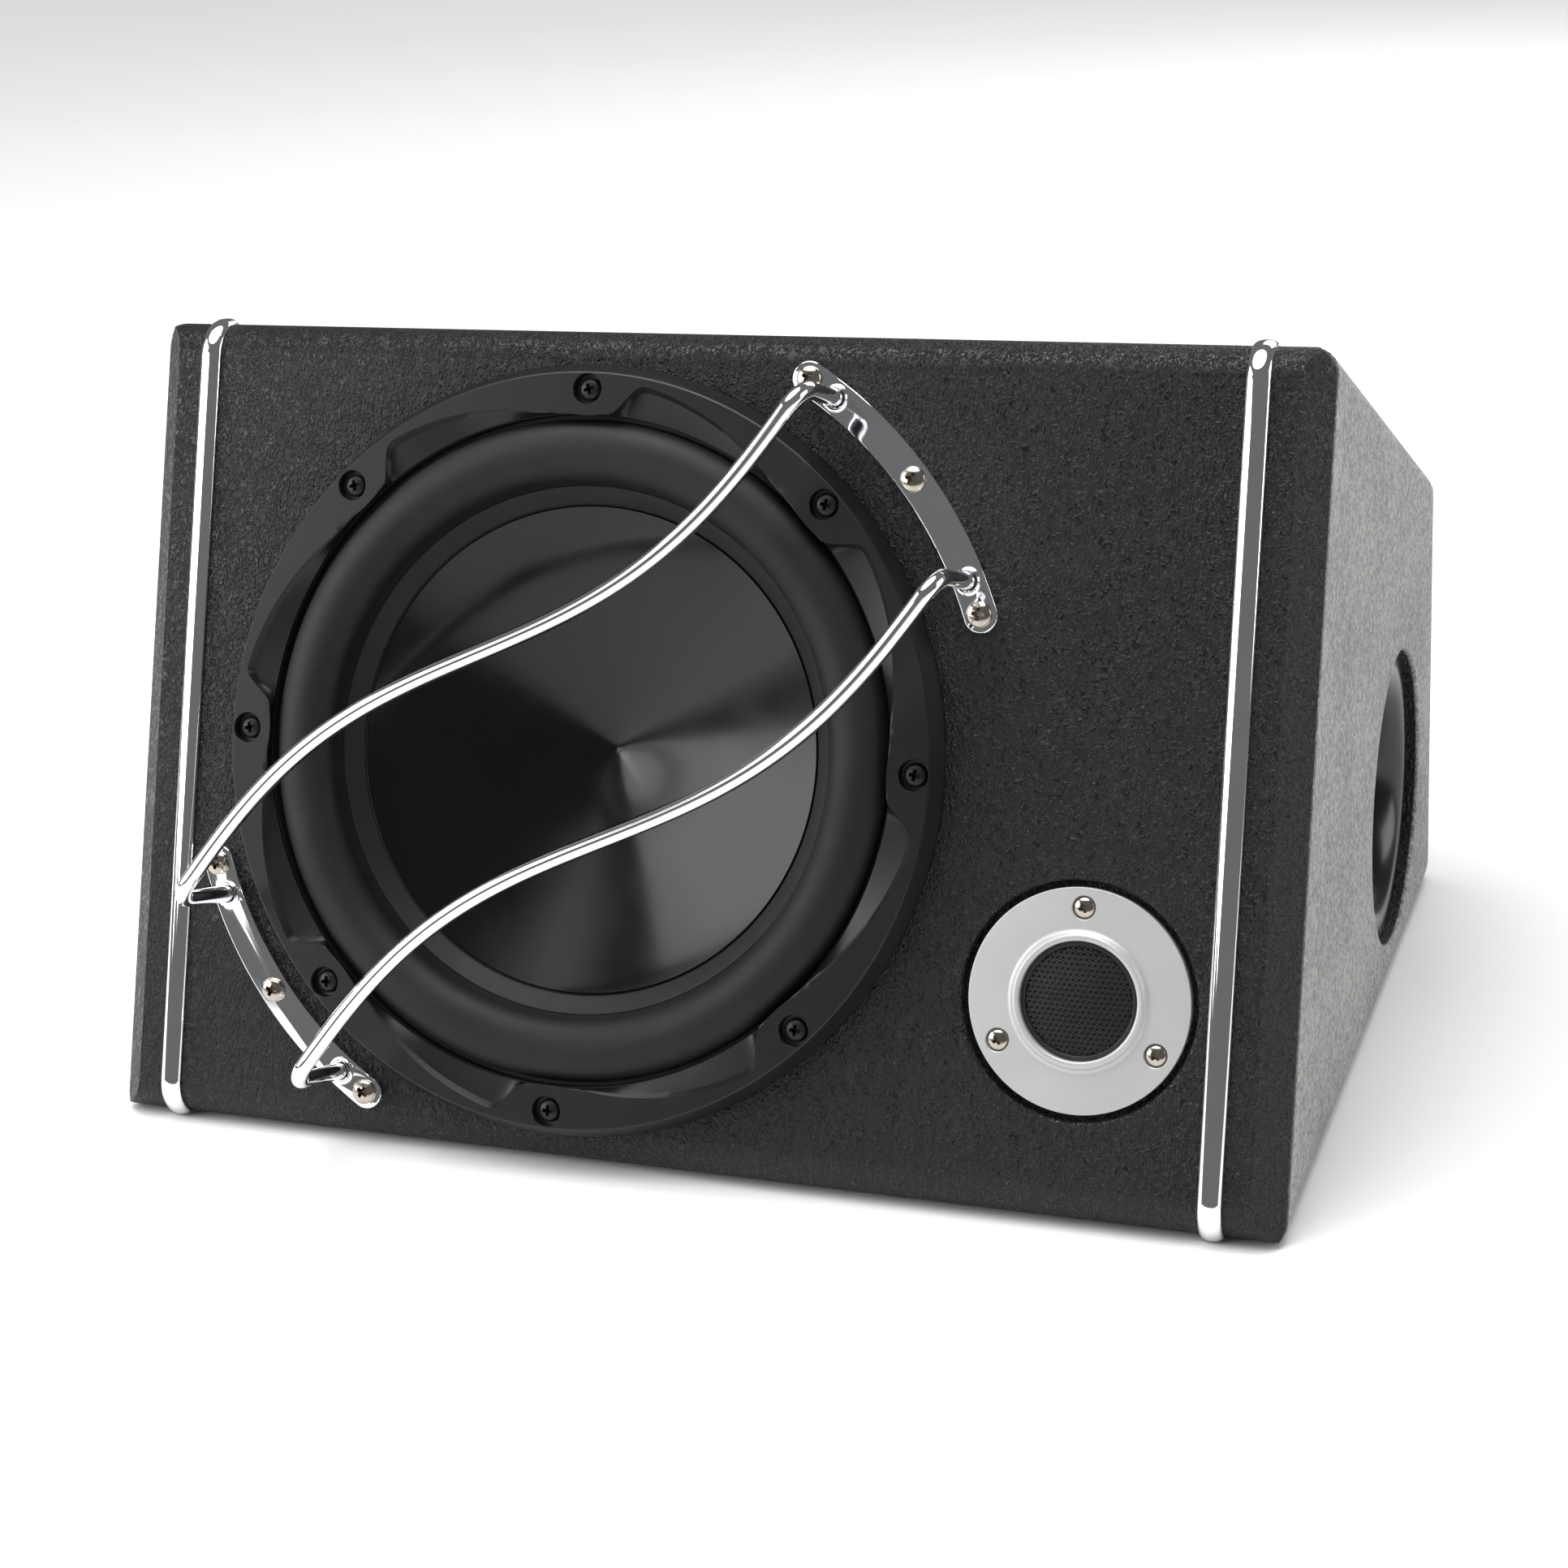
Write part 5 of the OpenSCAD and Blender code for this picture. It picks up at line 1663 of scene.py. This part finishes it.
    def fuse_pieces(self) -> None:
        """Blade fuse with a stepped top, in its holder."""
        place = LAYOUT.rear @ shifted(*self.fuse)
        holder = Shape().block(21.6, 8.6, -12, self.panel_t + 2).softened(0.5)
        holder.cut(Shape().block(19.6, 5.8, self.panel_t, 20))
        slot = Shape().block(6, 1.6, -11, 20)
        blades = [shifted(x) for x in (-self.blade_x, self.blade_x)]
        holder.cut(*[slot.copy().moved(blade) for blade in blades])
        holder.piece("fuse_socket", "black_epoxy", place, ["fuse_holder"], 30)
        low, top = self.panel_t + 0.3, self.panel_t + 11
        cap = Shape().block(19, 5.2, low, top).softened(0.7, 3)
        cap.cut(Shape().block(10, 2.2, top - 1.0, top + 2))
        cap.join(Shape().block(5.2, 0.8, -10, low + 0.5).repeated(blades))
        cap.piece("blade_fuse", "fuse_green", place, ["fuse"], 30, Body.FUSE)

    def panel_screws(self) -> None:
        """Six black screws that hold the panel."""
        half_w, half_h = self.panel[0] / 2 - 6, self.panel[1] / 2 - 5
        spots = [shifted(x * half_w, y * half_h, self.panel_t) @ turned(24 * x + 31 * y + 15)
                 for x in (-1, 0, 1) for y in (-1, 1)]
        phillips_screw(3.6, 2.4, 1.5, 14).repeated(spots).piece(
            "panel_screws", "black_screw", LAYOUT.rear, ["amp_screws"]
        )


# ---------- studio ----------


@dataclass
class Studio:
    """Pale floor, soft lights and the camera. Sizes are in metres."""

    camera_at: Corner = (0.3738, -1.0157, 0.4911)
    camera_way: Corner = (-0.34787, 0.88225, -0.31722)
    camera_up: Corner = (-0.05850, 0.31727, 0.94653)
    lens: float = 70.09
    shift: Point = (0.0356, -0.0682)
    floor_reach: float = 6.0
    ambient: float = 0.16
    sky_strength: float = 2.0
    sky_spread: float = 60.0
    softboxes: tuple[tuple[str, Corner, float, float], ...] = (
        ("left_softbox", (-2.3, -1.1, 1.1), 1.7, 34),
        ("front_softbox", (-1.75, -2.0, 1.0), 1.0, 11),
        ("top_softbox", (-0.2, -0.2, 2.5), 1.5, 26),
        ("right_softbox", (2.3, 0.1, 0.9), 1.2, 16),
        ("back_softbox", (0.5, 2.2, 1.5), 1.6, 20),
    )

    def build(self) -> None:
        """Builds floor, lights and camera."""
        self.floor()
        self.world()
        for softbox in self.softboxes:
            self.light(*softbox)
        self.sky()
        self.camera()

    def floor(self) -> None:
        """Pale floor."""
        mesh = bmesh.new()
        bmesh.ops.create_grid(mesh, x_segments=1, y_segments=1, size=self.floor_reach)
        data = bpy.data.meshes.new("floor")
        mesh.to_mesh(data)
        made = placed("floor", data)
        graph = Graph("pale_floor")
        tone = graph.blend(graph.noise(400, 2), (0.88, 0.88, 0.88), (0.92, 0.92, 0.92))
        data.materials.append(graph.close({"Roughness": 0.7}, {"Base Color": tone}))

    def world(self) -> None:
        """Even white surroundings."""
        world = bpy.data.worlds.new("studio")
        world.use_nodes = True
        background = world.node_tree.nodes["Background"]
        background.inputs["Color"].default_value = (1, 1, 1, 1)
        background.inputs["Strength"].default_value = self.ambient
        bpy.context.scene.world = world
        bpy.context.scene.view_settings.view_transform = "Standard"

    def light(self, name: str, at: Corner, size: float, power: float) -> None:
        """Square soft light aimed at the object.

        Args:
            name: name of the light.
            at: its place.
            size: its side.
            power: its power in watts.
        """
        data = bpy.data.lights.new(name, "AREA")
        data.size, data.energy = size, power
        made = placed(name, data)
        made.location = at
        aim = (CAD_BOX[0] + CAD_BOX[1]) / 2 - Vector(at)
        made.rotation_euler = aim.to_track_quat("-Z", "Y").to_euler()

    def sky(self) -> None:
        """Very wide, even light from above that reaches the whole floor."""
        data = bpy.data.lights.new("sky", "SUN")
        data.energy, data.angle = self.sky_strength, math.radians(self.sky_spread)
        placed("sky", data).rotation_euler = (math.radians(8), math.radians(-12), 0)

    def camera(self) -> None:
        """Camera at the viewing angle."""
        data = bpy.data.cameras.new("camera")
        data.lens = self.lens
        data.sensor_width = 36.0
        data.shift_x, data.shift_y = self.shift
        made = placed("camera", data)
        way, up = Vector(self.camera_way).normalized(), Vector(self.camera_up)
        right = way.cross(up).normalized()
        made.matrix_world = axes(self.camera_at, right, right.cross(way), -way)
        bpy.context.scene.camera = made


def main() -> None:
    """Builds the sub-assemblies in order."""
    logging.basicConfig(level=logging.INFO, format="%(message)s")
    PAINT.dress_nodes()
    for part in (Cabinet(), Woofer(), Tweeter(), Port(), Guard(), Amplifier(), Studio()):
        LOG.info("building %s", type(part).__name__)
        part.build()


if __name__ == "__main__":
    main()
